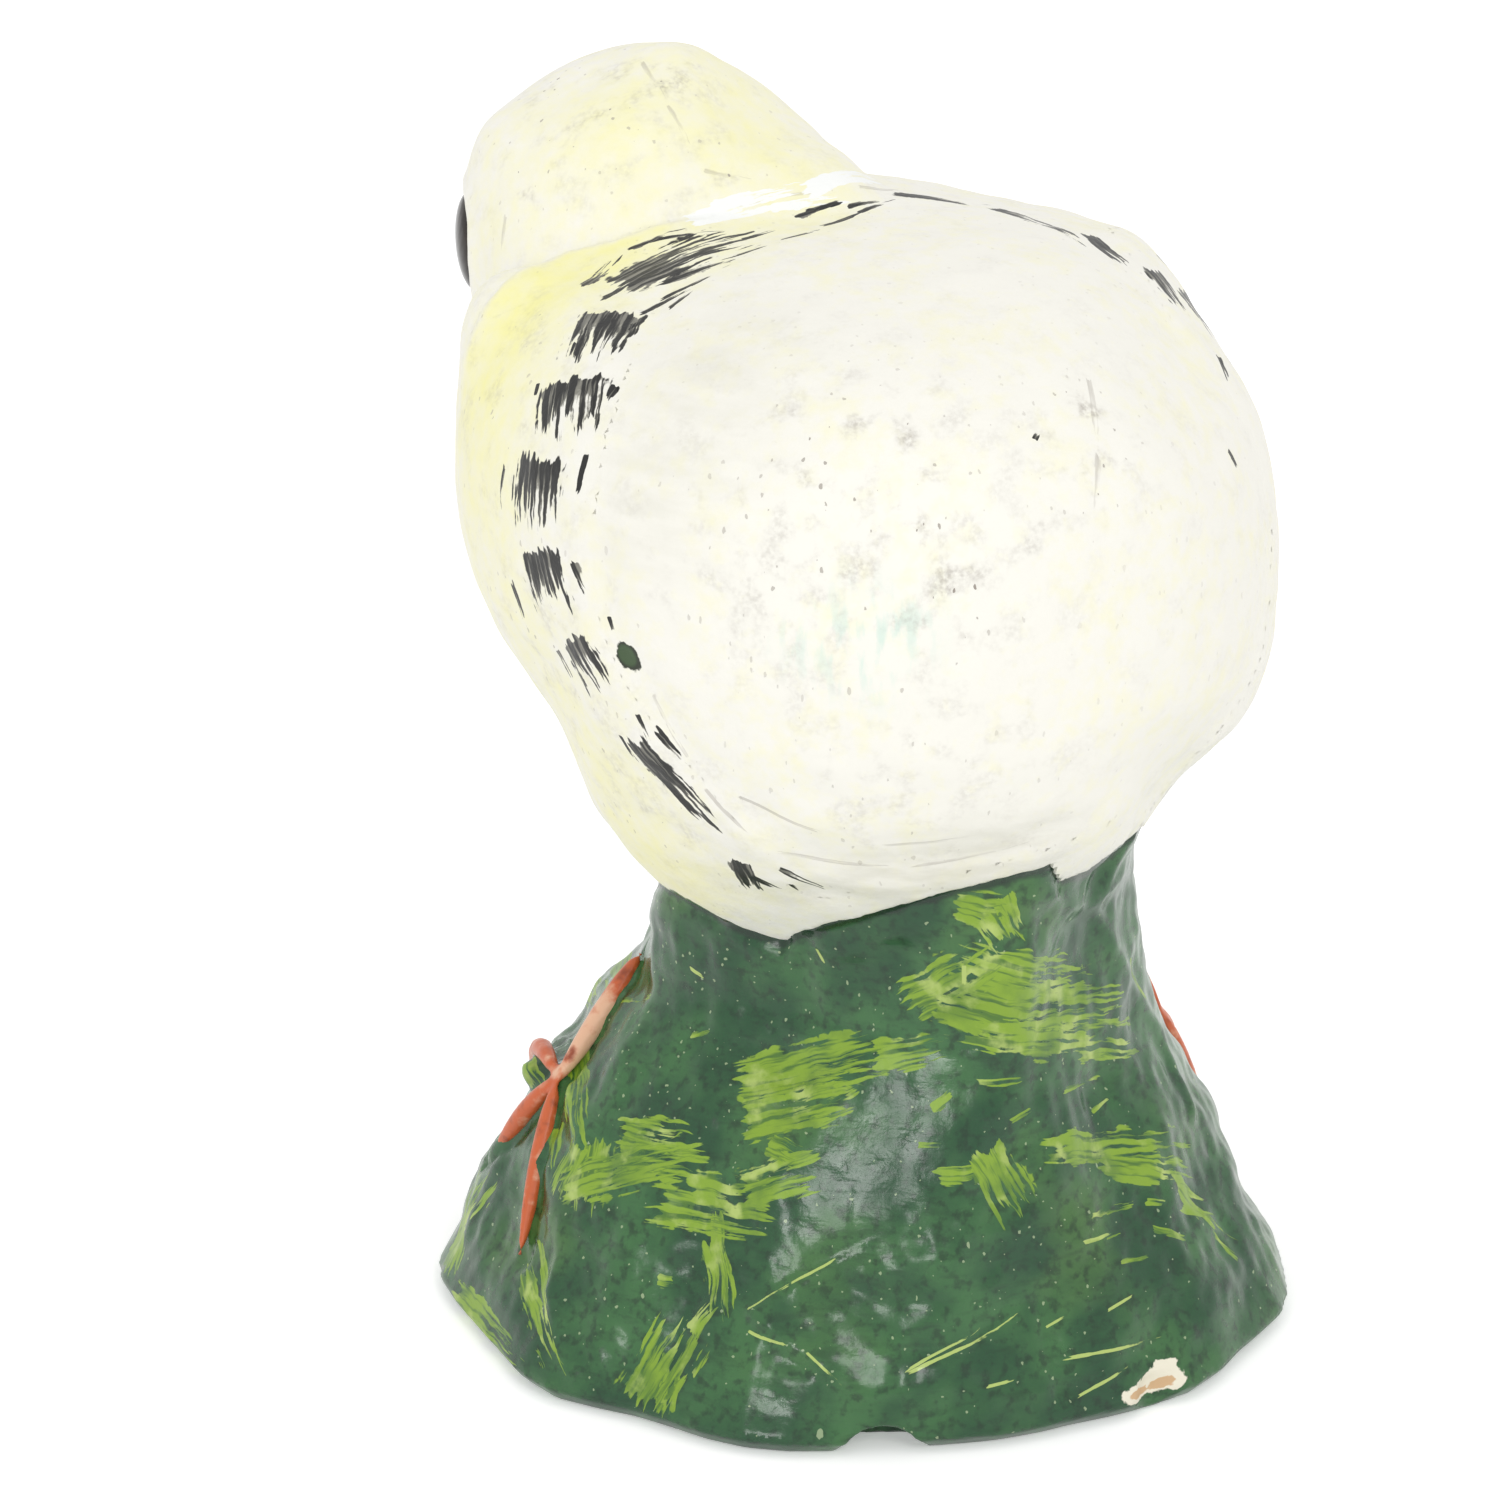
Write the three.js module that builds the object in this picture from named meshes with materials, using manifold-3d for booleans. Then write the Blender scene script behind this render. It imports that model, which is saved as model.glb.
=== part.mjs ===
// A cast and painted owl figurine perched on a mossy mound, in millimetres with +Z up.
// The owl faces -Y, so its left side is +X and its back is +Y. The mound rests on z = 0.
import * as THREE from "three";
import { mergeVertices } from "three/addons/utils/BufferGeometryUtils.js";
import Module from "manifold-3d";

const wasm = await Module();
wasm.setup();

// Clearance that paint and glue fill between two castings.
const FIT_GAP = 0.3;

// Mound: a lumpy stump with a wide foot, a shoulder and a narrow neck.
const MOUND_TOP = 41;
const MOUND_FOOT_RADIUS = 30.3;
const MOUND_FOOT_ROUND = 1.2;
const MOUND_FLANK_RADIUS = 26.2;
const MOUND_FLANK_HEIGHT = 9.6;
const MOUND_SHOULDER_RADIUS = 22.2;
const MOUND_SHOULDER_HEIGHT = 18.5;
const MOUND_NECK_RADIUS = 17.5;
const MOUND_NECK_HEIGHT = 26.5;
const MOUND_NECK_ASIDE = -1.6;
const MOUND_NECK_BACK = 1.5;
const NOTCH_RADIUS = 3.4;
const NOTCH_HEIGHT = 2.2;
const NOTCH_DEPTH = 4.5;
const NOTCH_BEARING = 73;
const CHIP_RADIUS = 3;
const CHIP_DEPTH = 1.4;
const CHIP_HEIGHT = 1.8;
const CHIP_BEARING = 113;
const KNOB_RADIUS = 1.8;
const KNOB_PROUD = 1.5;
const KNOB_BEARING = -18;
const KNOB_HEIGHT = 16.4;

// Folds of the mound: a bearing at the foot, a lean per millimetre of height, a width in degrees
// and how far the fold stands out of the mound at its foot and at its neck.
const FOLDS = [
  { bearing: -16, lean: 0.3, width: 11, foot: 1.3, neck: 0.2 },
  { bearing: 22, lean: -0.6, width: 8, foot: 1, neck: 0.4 },
  { bearing: 38, lean: 0.2, width: 9, foot: -0.9, neck: -0.9 },
  { bearing: 57, lean: -0.5, width: 8, foot: 0.3, neck: 0.2 },
  { bearing: 80, lean: 0, width: 18, foot: -1.2, neck: 1.6 },
  { bearing: 94, lean: 0, width: 18, foot: 0, neck: 3.4 },
  { bearing: 101, lean: -0.2, width: 7, foot: -0.6, neck: 0.2 },
  { bearing: 122, lean: 0.3, width: 8, foot: 0.9, neck: 0.7 },
  { bearing: 145, lean: 0.3, width: 9, foot: 1.1, neck: 0.1 },
  { bearing: 178, lean: -0.2, width: 9, foot: -1.3, neck: -0.2 },
  { bearing: 206, lean: 0.5, width: 10, foot: 1.4, neck: 0.4 },
  { bearing: 232, lean: -0.4, width: 8, foot: -1.2, neck: -0.5 },
  { bearing: 256, lean: 0.5, width: 9, foot: 1.1, neck: 0.3 },
  { bearing: 284, lean: -0.3, width: 9, foot: -1.3, neck: -0.4 },
  { bearing: 312, lean: 0.5, width: 10, foot: 1.3, neck: 0.4 },
];

// Body: heights are measured from the girth, the widest level.
const BODY_GIRTH_RADIUS = 28.2;
const BODY_CROWN_RISE = 19.8;
const BODY_KEEL_DROP = 36;
const BODY_CROWN_FULLNESS = 3;
const BODY_KEEL_FULLNESS = 1.66;
const BODY_CROWN_LEAN = 4;
const RUMP_SET_BACK = 2.5;
const RUMP_SET_ASIDE = -1.5;
const RUMP_DROP = 14;
const RUMP_SPREAD = 10;
const BREAST_SWELL = 5.5;
const BREAST_BEARING = -76;
const BREAST_WIDTH = 38;
const BREAST_SPREAD = 17;
const SEAT_SINK = 17;
const PEG_RADIUS = 5;
const PEG_LENGTH = 8;

// Wings and tail: pads let into the body. A level of 1 is the body's crown, 0 its girth and -1 its keel.
const PAD_PROUD = 0.5;
const PAD_INLAY = 1.2;
const PAD_CUTTER_REACH = 8;
const WING_CENTRE = { bearing: -6, level: -0.03 };
const WING_OUTLINE = [
  { bearing: 29, level: 0.1 },
  { bearing: 30, level: 0.56 },
  { bearing: 24, level: 0.83 },
  { bearing: 4, level: 0.89 },
  { bearing: -24, level: 0.71 },
  { bearing: -43, level: 0.25 },
  { bearing: -45, level: -0.17 },
  { bearing: -24, level: -0.46 },
  { bearing: 20, level: -0.67 },
  { bearing: 48, level: -0.76 },
  { bearing: 54, level: -0.64 },
  { bearing: 44, level: -0.4 },
  { bearing: 34, level: -0.19 },
];
const TAIL_CENTRE = { bearing: 88, level: -0.58 };
const TAIL_OUTLINE = [
  { bearing: 122, level: -0.55 },
  { bearing: 112, level: -0.44 },
  { bearing: 88, level: -0.49 },
  { bearing: 66, level: -0.54 },
  { bearing: 60, level: -0.71 },
  { bearing: 90, level: -0.71 },
];

// Head: a ball whose nape slopes straight to the body's crown.
const HEAD_RADIUS = 13.8;
const HEAD_ASIDE = 9.4;
const HEAD_INSET = 7.6;
const HEAD_SINK = 5;
const HEAD_TURN = 31;
const FACE_PRESS = 2.8;
const FACE_FLATNESS = 0.5;
const NAPE_RADIUS = 5.7;
const NAPE_ASIDE = -0.5;
const NAPE_BACK = 10;
const NAPE_RISE = 1;
const NECK_PEG_RADIUS = 3.5;
const NECK_PEG_LENGTH = 16;
const EYE_RADIUS = 3.3;
const EYE_BULGE = 1.3;
const EYE_SINK = 1;
const EYE_SPREAD = 42;
const EYE_DROP = 4;
const DISC_RADIUS = 6.4;
const DISC_DEPTH = 0.7;
const BEAK_WIDTH = 3.2;
const BEAK_LENGTH = 5.4;
const BEAK_REACH = 1.8;
const BEAK_DROP = 26;

// Feet: a leg down the neck of the mound and three toes spread over its shoulder.
// Swings are degrees round the mound from the ankle, and falls are heights below it.
const LEG_RADIUS = 1.35;
const TOE_RADIUS = 1.15;
const LIMB_PROUD = 0.47;
const ANKLE_LAP = 1;
const TOE_FALLS = [11.4, 9.4, 7.4];
const FEET = [
  { name: "left_foot", side: 1, ankle: -4, legSwing: -14, toeSwings: [12, -13, -38], gripsKnob: true },
  { name: "right_foot", side: -1, ankle: 4, legSwing: -26, toeSwings: [-5, -21, -40], gripsKnob: false },
];

const radians = THREE.MathUtils.degToRad;
const birdHeight = MOUND_TOP - SEAT_SINK + BODY_KEEL_DROP;

// Three.js geometry as a closed solid that can be cut and joined.
function solidOf(geometry) {
  const bare = new THREE.BufferGeometry();
  bare.setAttribute("position", geometry.getAttribute("position"));
  bare.setIndex(geometry.getIndex());
  const merged = mergeVertices(bare, 1e-4);
  return new wasm.Manifold(
    new wasm.Mesh({
      numProp: 3,
      vertProperties: merged.getAttribute("position").array,
      triVerts: new Uint32Array(merged.getIndex().array),
    }),
  );
}

// A solid back as three.js geometry.
function geometryOf(solid) {
  const mesh = solid.getMesh();
  const geometry = new THREE.BufferGeometry();
  geometry.setAttribute("position", new THREE.BufferAttribute(mesh.vertProperties, 3));
  geometry.setIndex(new THREE.BufferAttribute(mesh.triVerts, 1));
  geometry.computeVertexNormals();
  return geometry;
}

// A ball pressed to a form: place gives the spot for a bearing round the ball and a share of the way
// from its top pole to its bottom pole.
function pressed(around, rings, place) {
  const geometry = new THREE.SphereGeometry(1, around, rings);
  const spots = geometry.getAttribute("position");
  for (let i = 0; i < spots.count; i += 1) {
    const level = THREE.MathUtils.clamp(spots.getY(i), -1, 1);
    const bearing = Math.atan2(-spots.getZ(i), spots.getX(i));
    const spot = place(bearing, Math.acos(level) / Math.PI);
    spots.setXYZ(i, spot.x, spot.y, spot.z);
  }
  return solidOf(geometry);
}

// A cylinder from one point to another.
function rod(from, to, radius) {
  const along = to.clone().sub(from);
  const geometry = new THREE.CylinderGeometry(radius, radius, along.length(), 20);
  const up = new THREE.Vector3(0, 1, 0);
  geometry.applyQuaternion(new THREE.Quaternion().setFromUnitVectors(up, along.clone().normalize()));
  geometry.translate(...from.clone().add(to).multiplyScalar(0.5).toArray());
  return solidOf(geometry);
}

// Mound.

function foldHeight(bearing, height) {
  const share = THREE.MathUtils.clamp(height / MOUND_NECK_HEIGHT, 0, 1);
  return FOLDS.reduce((sum, fold) => {
    const away = bearing - radians(fold.bearing + fold.lean * height);
    const turn = Math.atan2(Math.sin(away), Math.cos(away)) / radians(fold.width);
    return sum + THREE.MathUtils.lerp(fold.foot, fold.neck, share) * Math.exp(-turn * turn);
  }, 0);
}

const moundFlank = new THREE.SplineCurve([
  new THREE.Vector2(MOUND_FOOT_RADIUS, MOUND_FOOT_ROUND),
  new THREE.Vector2(MOUND_FLANK_RADIUS, MOUND_FLANK_HEIGHT),
  new THREE.Vector2(MOUND_SHOULDER_RADIUS, MOUND_SHOULDER_HEIGHT),
  new THREE.Vector2(MOUND_NECK_RADIUS, MOUND_NECK_HEIGHT),
  new THREE.Vector2(MOUND_NECK_RADIUS, MOUND_TOP),
]);
const flankPoints = moundFlank.getPoints(120);

function moundRadius(bearing, height) {
  const above = flankPoints.findIndex((point) => point.y >= height);
  const upper = flankPoints[above < 0 ? flankPoints.length - 1 : above];
  const lower = flankPoints[Math.max(0, above - 1)];
  const span = Math.max(upper.y - lower.y, 1e-6);
  const share = THREE.MathUtils.clamp((height - lower.y) / span, 0, 1);
  return THREE.MathUtils.lerp(lower.x, upper.x, share) + foldHeight(bearing, height);
}

// The mound's middle wanders aside and back towards its neck.
function moundAxis(height) {
  const share = THREE.MathUtils.smoothstep(height, MOUND_SHOULDER_HEIGHT, MOUND_NECK_HEIGHT);
  return { x: MOUND_NECK_ASIDE * share, y: MOUND_NECK_BACK * share };
}

// A spot on the mound's skin, off it by the distance given, or at a share of its radius.
function moundSpot(bearing, height, off = 0, share = 1) {
  const out = share * moundRadius(bearing, height) + off;
  const axis = moundAxis(height);
  return new THREE.Vector3(axis.x + out * Math.cos(bearing), axis.y + out * Math.sin(bearing), height);
}

function moundSolid() {
  const flankRings = 12;
  const rings = [{ share: 0, height: MOUND_TOP }, { share: 0.6, height: MOUND_TOP }];
  for (let i = 0; i <= flankRings; i += 1) {
    const height = THREE.MathUtils.lerp(MOUND_TOP, MOUND_FOOT_ROUND, i / flankRings);
    rings.push({ share: 1, height });
  }
  rings.push({ share: 1 - MOUND_FOOT_ROUND / MOUND_FOOT_RADIUS, height: 0 });
  rings.push({ share: 0.5, height: 0 });
  rings.push({ share: 0, height: 0 });
  const last = rings.length - 1;
  return pressed(60, last, (bearing, down) => {
    const ring = rings[Math.round(down * last)];
    return moundSpot(bearing, ring.height, 0, ring.share);
  });
}

function knobSolid() {
  const bearing = radians(KNOB_BEARING);
  const centre = moundSpot(bearing, KNOB_HEIGHT, KNOB_PROUD - KNOB_RADIUS);
  const geometry = new THREE.SphereGeometry(KNOB_RADIUS, 14, 10);
  geometry.translate(centre.x, centre.y, centre.z);
  return solidOf(geometry);
}

function notchSolid() {
  const out = new THREE.Vector3(Math.cos(radians(NOTCH_BEARING)), Math.sin(radians(NOTCH_BEARING)), 0);
  const from = out.clone().multiplyScalar(MOUND_FOOT_RADIUS - NOTCH_DEPTH);
  const to = out.clone().multiplyScalar(MOUND_FOOT_RADIUS + NOTCH_DEPTH);
  const axisHeight = NOTCH_HEIGHT - NOTCH_RADIUS;
  return rod(from.setZ(axisHeight), to.setZ(axisHeight), NOTCH_RADIUS);
}

function chipSolid() {
  const centre = moundSpot(radians(CHIP_BEARING), CHIP_HEIGHT, CHIP_RADIUS - CHIP_DEPTH);
  const geometry = new THREE.IcosahedronGeometry(CHIP_RADIUS, 0);
  geometry.translate(centre.x, centre.y, centre.z);
  return solidOf(geometry);
}

// Body.

function bodyAxis(height) {
  const rump = Math.exp(-(((height + RUMP_DROP) / RUMP_SPREAD) ** 2));
  const rise = Math.max(0, height / BODY_CROWN_RISE);
  return { x: RUMP_SET_ASIDE * rump, y: RUMP_SET_BACK * rump - BODY_CROWN_LEAN * rise * rise };
}

// The breast swells under the head.
function breastSwell(bearing, height) {
  const away = bearing - radians(BREAST_BEARING);
  const turn = Math.atan2(Math.sin(away), Math.cos(away)) / radians(BREAST_WIDTH);
  const level = height / BREAST_SPREAD;
  return BREAST_SWELL * Math.exp(-turn * turn - level * level);
}

// A spot on the body's skin for a bearing and a share of the way from the crown to the keel.
function bodySkin(bearing, down) {
  const level = Math.cos(Math.PI * down);
  const above = level > 0;
  const power = 2 / (above ? BODY_CROWN_FULLNESS : BODY_KEEL_FULLNESS);
  const height = Math.sign(level) * Math.abs(level) ** power * (above ? BODY_CROWN_RISE : BODY_KEEL_DROP);
  const girth = Math.sin(Math.PI * down);
  const out = BODY_GIRTH_RADIUS * girth ** power + breastSwell(bearing, height) * girth;
  const axis = bodyAxis(height);
  return new THREE.Vector3(axis.x + out * Math.cos(bearing), axis.y + out * Math.sin(bearing), height);
}

// The same spot moved off the skin, square to it.
function bodySpot(bearing, down, off) {
  const spot = bodySkin(bearing, down);
  const step = 1e-3;
  if (down < step || down > 1 - step) {
    return spot.setZ(spot.z + (down < 0.5 ? off : -off));
  }
  const round = bodySkin(bearing + step, down).sub(bodySkin(bearing - step, down));
  const fall = bodySkin(bearing, down + step).sub(bodySkin(bearing, down - step));
  return spot.addScaledVector(fall.cross(round).normalize(), off);
}

function levelHeight(level) {
  return level * (level > 0 ? BODY_CROWN_RISE : BODY_KEEL_DROP);
}

// The share of the way from the crown to the keel at which the skin has the height given.
function shareDown(height) {
  const above = height > 0;
  const power = (above ? BODY_CROWN_FULLNESS : BODY_KEEL_FULLNESS) / 2;
  const level = Math.min(1, Math.abs(height) / (above ? BODY_CROWN_RISE : BODY_KEEL_DROP)) ** power;
  return Math.acos(above ? level : -level) / Math.PI;
}

function bodySolid(off) {
  return pressed(42, 20, (bearing, down) => bodySpot(bearing, down, off));
}

function bodyPeg(gap) {
  const keel = bodySkin(0, 1);
  const foot = keel.clone().setZ(keel.z - PEG_LENGTH - gap);
  return rod(keel.clone().setZ(keel.z + PEG_LENGTH), foot, PEG_RADIUS + gap);
}

// A plug square to the body's skin over an outline of bearings and levels, grown all round.
// It reaches well past the skin both ways, so only its walls shape what it cuts.
function padPlug({ centre, outline, side }, grow) {
  const onSheet = ({ bearing, level }) => new THREE.Vector3(radians(bearing), levelHeight(level), 0);
  const edge = new THREE.CatmullRomCurve3(outline.map(onSheet), true, "centripetal");
  const middle = onSheet(centre);
  return pressed(40, 3, (turn, down) => {
    const share = THREE.MathUtils.euclideanModulo(side * turn, 2 * Math.PI) / (2 * Math.PI);
    const reach = edge.getPointAt(share % 1).sub(middle);
    const spotAt = (part, off) => {
      const spot = middle.clone().addScaledVector(reach, part);
      return bodySpot(side > 0 ? spot.x : Math.PI - spot.x, shareDown(spot.y), off);
    };
    const step = 1e-3;
    const reachLength = spotAt(1 + step, 0).distanceTo(spotAt(1 - step, 0)) / (2 * step);
    const onEdge = down > 0.1 && down < 0.9;
    return spotAt(onEdge ? 1 + grow / reachLength : 0, down < 0.5 ? PAD_CUTTER_REACH : -PAD_CUTTER_REACH);
  });
}

const PADS = [
  { name: "left_wing", centre: WING_CENTRE, outline: WING_OUTLINE, side: 1 },
  { name: "right_wing", centre: WING_CENTRE, outline: WING_OUTLINE, side: -1 },
  { name: "tail", centre: TAIL_CENTRE, outline: TAIL_OUTLINE, side: 1 },
];

// Head.

const headCentre = new THREE.Vector3(
  HEAD_ASIDE,
  HEAD_INSET - BODY_GIRTH_RADIUS,
  BODY_CROWN_RISE - HEAD_SINK,
);
const napeCentre = headCentre.clone().add(new THREE.Vector3(NAPE_ASIDE - HEAD_ASIDE, NAPE_BACK, NAPE_RISE));

// A direction from the head's centre: degrees to the left of where the face looks, and degrees down.
function gaze(left, down) {
  const turn = radians(HEAD_TURN + left);
  const level = Math.cos(radians(down));
  return new THREE.Vector3(level * Math.sin(turn), -level * Math.cos(turn), -Math.sin(radians(down)));
}

// The face is pressed flatter than the rest of the ball.
function flattenFace(spot) {
  const out = gaze(0, 0);
  const beyond = spot.clone().sub(headCentre).dot(out) - (HEAD_RADIUS - FACE_PRESS);
  return beyond > 0 ? spot.addScaledVector(out, -beyond * FACE_FLATNESS) : spot;
}

function headSpot(left, down, off = 0) {
  const out = gaze(left, down);
  const spot = flattenFace(headCentre.clone().addScaledVector(out, HEAD_RADIUS));
  return spot.addScaledVector(out, off);
}

// The skin stretched straight from the head's ball to the smaller ball of the nape.
function headBall() {
  const axis = napeCentre.clone().sub(headCentre);
  const length = axis.length();
  axis.normalize();
  const side = new THREE.Vector3(1, 0, 0).projectOnPlane(axis).normalize();
  const rise = axis.clone().cross(side);
  const tangent = Math.acos((HEAD_RADIUS - NAPE_RADIUS) / length);
  const profile = new THREE.Path();
  profile.absarc(0, 0, HEAD_RADIUS, Math.PI, tangent, true);
  profile.absarc(length, 0, NAPE_RADIUS, tangent, 0, true);
  return pressed(32, 18, (bearing, down) => {
    const point = profile.getPointAt(1 - down);
    const spot = headCentre.clone().addScaledVector(axis, point.x);
    spot.addScaledVector(side, point.y * Math.cos(bearing));
    spot.addScaledVector(rise, point.y * Math.sin(bearing));
    return flattenFace(spot);
  });
}

function neckPeg(gap) {
  const inward = headCentre.clone().negate().normalize();
  const root = headCentre.clone().addScaledVector(inward, -HEAD_RADIUS / 2);
  const end = headCentre.clone().addScaledVector(inward, NECK_PEG_LENGTH + gap);
  return rod(root, end, NECK_PEG_RADIUS + gap);
}

// A flattened bead on the head, with its short axis along the direction given.
function beadGeometry(radius, bulge) {
  const geometry = new THREE.SphereGeometry(radius, 16, 8);
  geometry.rotateX(Math.PI / 2);
  return geometry.scale(1, 1, bulge / radius);
}

function beadPlace(left, off) {
  const out = gaze(left, EYE_DROP);
  const turn = new THREE.Quaternion().setFromUnitVectors(new THREE.Vector3(0, 0, 1), out);
  return { spot: headSpot(left, EYE_DROP, off), turn };
}

function beadSolid(left, radius, bulge, off) {
  const { spot, turn } = beadPlace(left, off);
  const geometry = beadGeometry(radius, bulge);
  geometry.applyQuaternion(turn);
  geometry.translate(spot.x, spot.y, spot.z);
  return solidOf(geometry);
}

// A short beak: rounded above, drawn to a point below.
function beakSolid(gap) {
  const out = gaze(0, 0);
  const across = out.clone().cross(new THREE.Vector3(0, 0, 1));
  const root = headSpot(0, BEAK_DROP);
  return pressed(12, 8, (bearing, down) => {
    const girth = Math.sin(Math.PI * down) * (1.15 - 0.5 * down);
    const spot = root.clone();
    spot.addScaledVector(across, (BEAK_WIDTH / 2 + gap) * girth * Math.cos(bearing));
    spot.addScaledVector(out, (BEAK_REACH + gap) * girth * Math.sin(bearing));
    spot.z += (BEAK_LENGTH / 2 + gap) * Math.cos(Math.PI * down);
    return spot;
  });
}

// Feet.

// A limb laid on the mound along bearings and heights, drawn to a rounded end.
function limbSolid(route, radius, grow) {
  const spots = route.map((stop) => moundSpot(stop.bearing, stop.height, stop.off));
  const line = new THREE.CatmullRomCurve3(spots, false, "centripetal");
  return pressed(8, 10, (bearing, along) => {
    const tangent = line.getTangentAt(along);
    const spot = line.getPointAt(along);
    const out = new THREE.Vector3(spot.x, spot.y, 0).normalize();
    const across = out.clone().cross(tangent).normalize();
    const upright = tangent.clone().cross(across);
    const taper = Math.sin(Math.PI * along) ** 0.4 * (1 - 0.35 * along);
    const girth = radius * taper + grow * Math.sin(Math.PI * along) ** 0.4;
    spot.addScaledVector(upright, girth * Math.cos(bearing));
    spot.addScaledVector(across, girth * Math.sin(bearing));
    return spot.addScaledVector(tangent, grow * (2 * along - 1));
  });
}

function footSolid({ side, ankle, legSwing, toeSwings, gripsKnob }, grow) {
  const stop = (degrees, height, off = LIMB_PROUD) => {
    return { bearing: radians(side > 0 ? degrees : 180 - degrees), height, off };
  };
  const ankleHeight = MOUND_SHOULDER_HEIGHT;
  const shin = stop(ankle + legSwing / 2, (MOUND_NECK_HEIGHT + ankleHeight) / 2);
  const leg = [stop(ankle + legSwing, MOUND_NECK_HEIGHT), shin, stop(ankle, ankleHeight - ANKLE_LAP)];
  const toes = toeSwings.map((swing, i) => {
    const bend = stop(ankle + swing * 0.45, ankleHeight - TOE_FALLS[i] * 0.4);
    return [stop(ankle, ankleHeight), bend, stop(ankle + swing, ankleHeight - TOE_FALLS[i])];
  });
  if (gripsKnob) {
    toes[2][1] = stop(KNOB_BEARING, KNOB_HEIGHT + KNOB_RADIUS, KNOB_PROUD - TOE_RADIUS / 2);
  }
  const solids = toes.map((toe) => limbSolid(toe, TOE_RADIUS, grow));
  return solids.reduce((sum, solid) => sum.add(solid), limbSolid(leg, LEG_RADIUS, grow));
}

// Assembly: the bird's pieces are made about its girth, and the mound about the floor.

const bird = new THREE.Group();
bird.name = "bird";
bird.position.z = birdHeight;
const figurine = new THREE.Group();
figurine.name = "figurine";
figurine.add(bird);

const paint = (color, roughness) => new THREE.MeshStandardMaterial({ color, roughness, metalness: 0 });
const whitePaint = paint("#eeebe0", 0.55);
const yellowPaint = paint("#ece7b8", 0.6);
const greenPaint = paint("#2f6a47", 0.3);
const orangePaint = paint("#d8613a", 0.4);
const blackGloss = paint("#14120f", 0.12);

function addPiece(group, name, solid, material) {
  const mesh = new THREE.Mesh(geometryOf(solid), material);
  mesh.name = name;
  group.add(mesh);
  return mesh;
}

// The room that the body and its pads take, with the clearance: it cuts what sits against them.
// A pad gives way to the pads before it, so the tail is cut by the wing tips.
let bodyRoom = bodySolid(FIT_GAP);
let body = bodySolid(0).add(bodyPeg(0)).subtract(neckPeg(FIT_GAP));
const padShell = bodySolid(PAD_PROUD).subtract(bodySolid(-PAD_INLAY));
const padRoom = bodySolid(PAD_PROUD + FIT_GAP);
const pocketFloor = bodySolid(-PAD_INLAY - FIT_GAP);
const widePlugs = [];
for (const pad of PADS) {
  const plug = widePlugs.reduce((left, wide) => left.subtract(wide), padPlug(pad, 0));
  addPiece(bird, pad.name, padShell.intersect(plug), whitePaint);
  const widePlug = padPlug(pad, FIT_GAP);
  widePlugs.push(widePlug);
  bodyRoom = bodyRoom.add(padRoom.intersect(widePlug));
  body = body.subtract(widePlug.subtract(pocketFloor));
}
addPiece(bird, "body", body, whitePaint);

const eyes = [
  { name: "left_eye", left: EYE_SPREAD },
  { name: "right_eye", left: -EYE_SPREAD },
];
let head = headBall().subtract(bodyRoom).add(neckPeg(0)).subtract(beakSolid(FIT_GAP));
for (const { name, left } of eyes) {
  head = head.subtract(beadSolid(left, DISC_RADIUS, 2 * DISC_DEPTH, DISC_DEPTH));
  head = head.subtract(beadSolid(left, EYE_RADIUS + FIT_GAP, EYE_BULGE + FIT_GAP, -EYE_SINK));
  const { spot, turn } = beadPlace(left, -EYE_SINK);
  const eye = new THREE.Mesh(beadGeometry(EYE_RADIUS, EYE_BULGE), blackGloss);
  eye.name = name;
  eye.position.copy(spot);
  eye.quaternion.copy(turn);
  bird.add(eye);
}
addPiece(bird, "head", head, yellowPaint);
addPiece(bird, "beak", beakSolid(0), orangePaint);

let mound = moundSolid().add(knobSolid());
mound = mound.subtract(notchSolid()).subtract(chipSolid());
mound = mound.subtract(bodyRoom.add(bodyPeg(FIT_GAP)).translate(0, 0, birdHeight));
for (const foot of FEET) {
  mound = mound.subtract(footSolid(foot, FIT_GAP));
  addPiece(figurine, foot.name, footSolid(foot, 0), orangePaint);
}
addPiece(figurine, "mound", mound, greenPaint);

export default figurine;
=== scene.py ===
# %% [markdown]
# A painted owl on a mossy mound.
# The real figurine is a handful of small resin castings, glued together and painted by hand.
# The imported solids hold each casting's place and size. This lesson gives every one of them an even
# skin of small faces, presses the maker's relief into it and lays the paint on stroke by stroke.

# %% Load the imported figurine
import math
from collections import namedtuple

import bmesh
import bpy
import numpy as np
from mathutils import Matrix, Vector
from mathutils.bvhtree import BVHTree


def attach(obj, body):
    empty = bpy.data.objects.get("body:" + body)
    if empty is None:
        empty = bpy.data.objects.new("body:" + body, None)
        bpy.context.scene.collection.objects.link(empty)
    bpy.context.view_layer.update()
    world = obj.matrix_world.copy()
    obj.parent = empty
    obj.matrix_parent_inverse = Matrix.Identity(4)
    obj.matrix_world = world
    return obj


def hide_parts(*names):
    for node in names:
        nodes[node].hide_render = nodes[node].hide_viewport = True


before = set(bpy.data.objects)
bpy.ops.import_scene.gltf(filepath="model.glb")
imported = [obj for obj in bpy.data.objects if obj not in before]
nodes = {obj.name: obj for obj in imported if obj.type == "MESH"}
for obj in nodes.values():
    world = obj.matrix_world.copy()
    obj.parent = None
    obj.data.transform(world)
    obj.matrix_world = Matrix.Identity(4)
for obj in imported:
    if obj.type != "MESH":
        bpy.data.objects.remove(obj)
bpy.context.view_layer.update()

MM = 0.001
print("castings:", sorted(nodes))

# %% [markdown]
# The camera comes first, because the paint strokes are placed by where they show in the photograph.
# The figurine is seen from behind and a little above, with a long lens from half a metre away.
# The lens follows from the distance and the scale at the aim, and the frame is shifted, not turned,
# so that upright edges stay upright as they do in the photograph.

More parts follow.
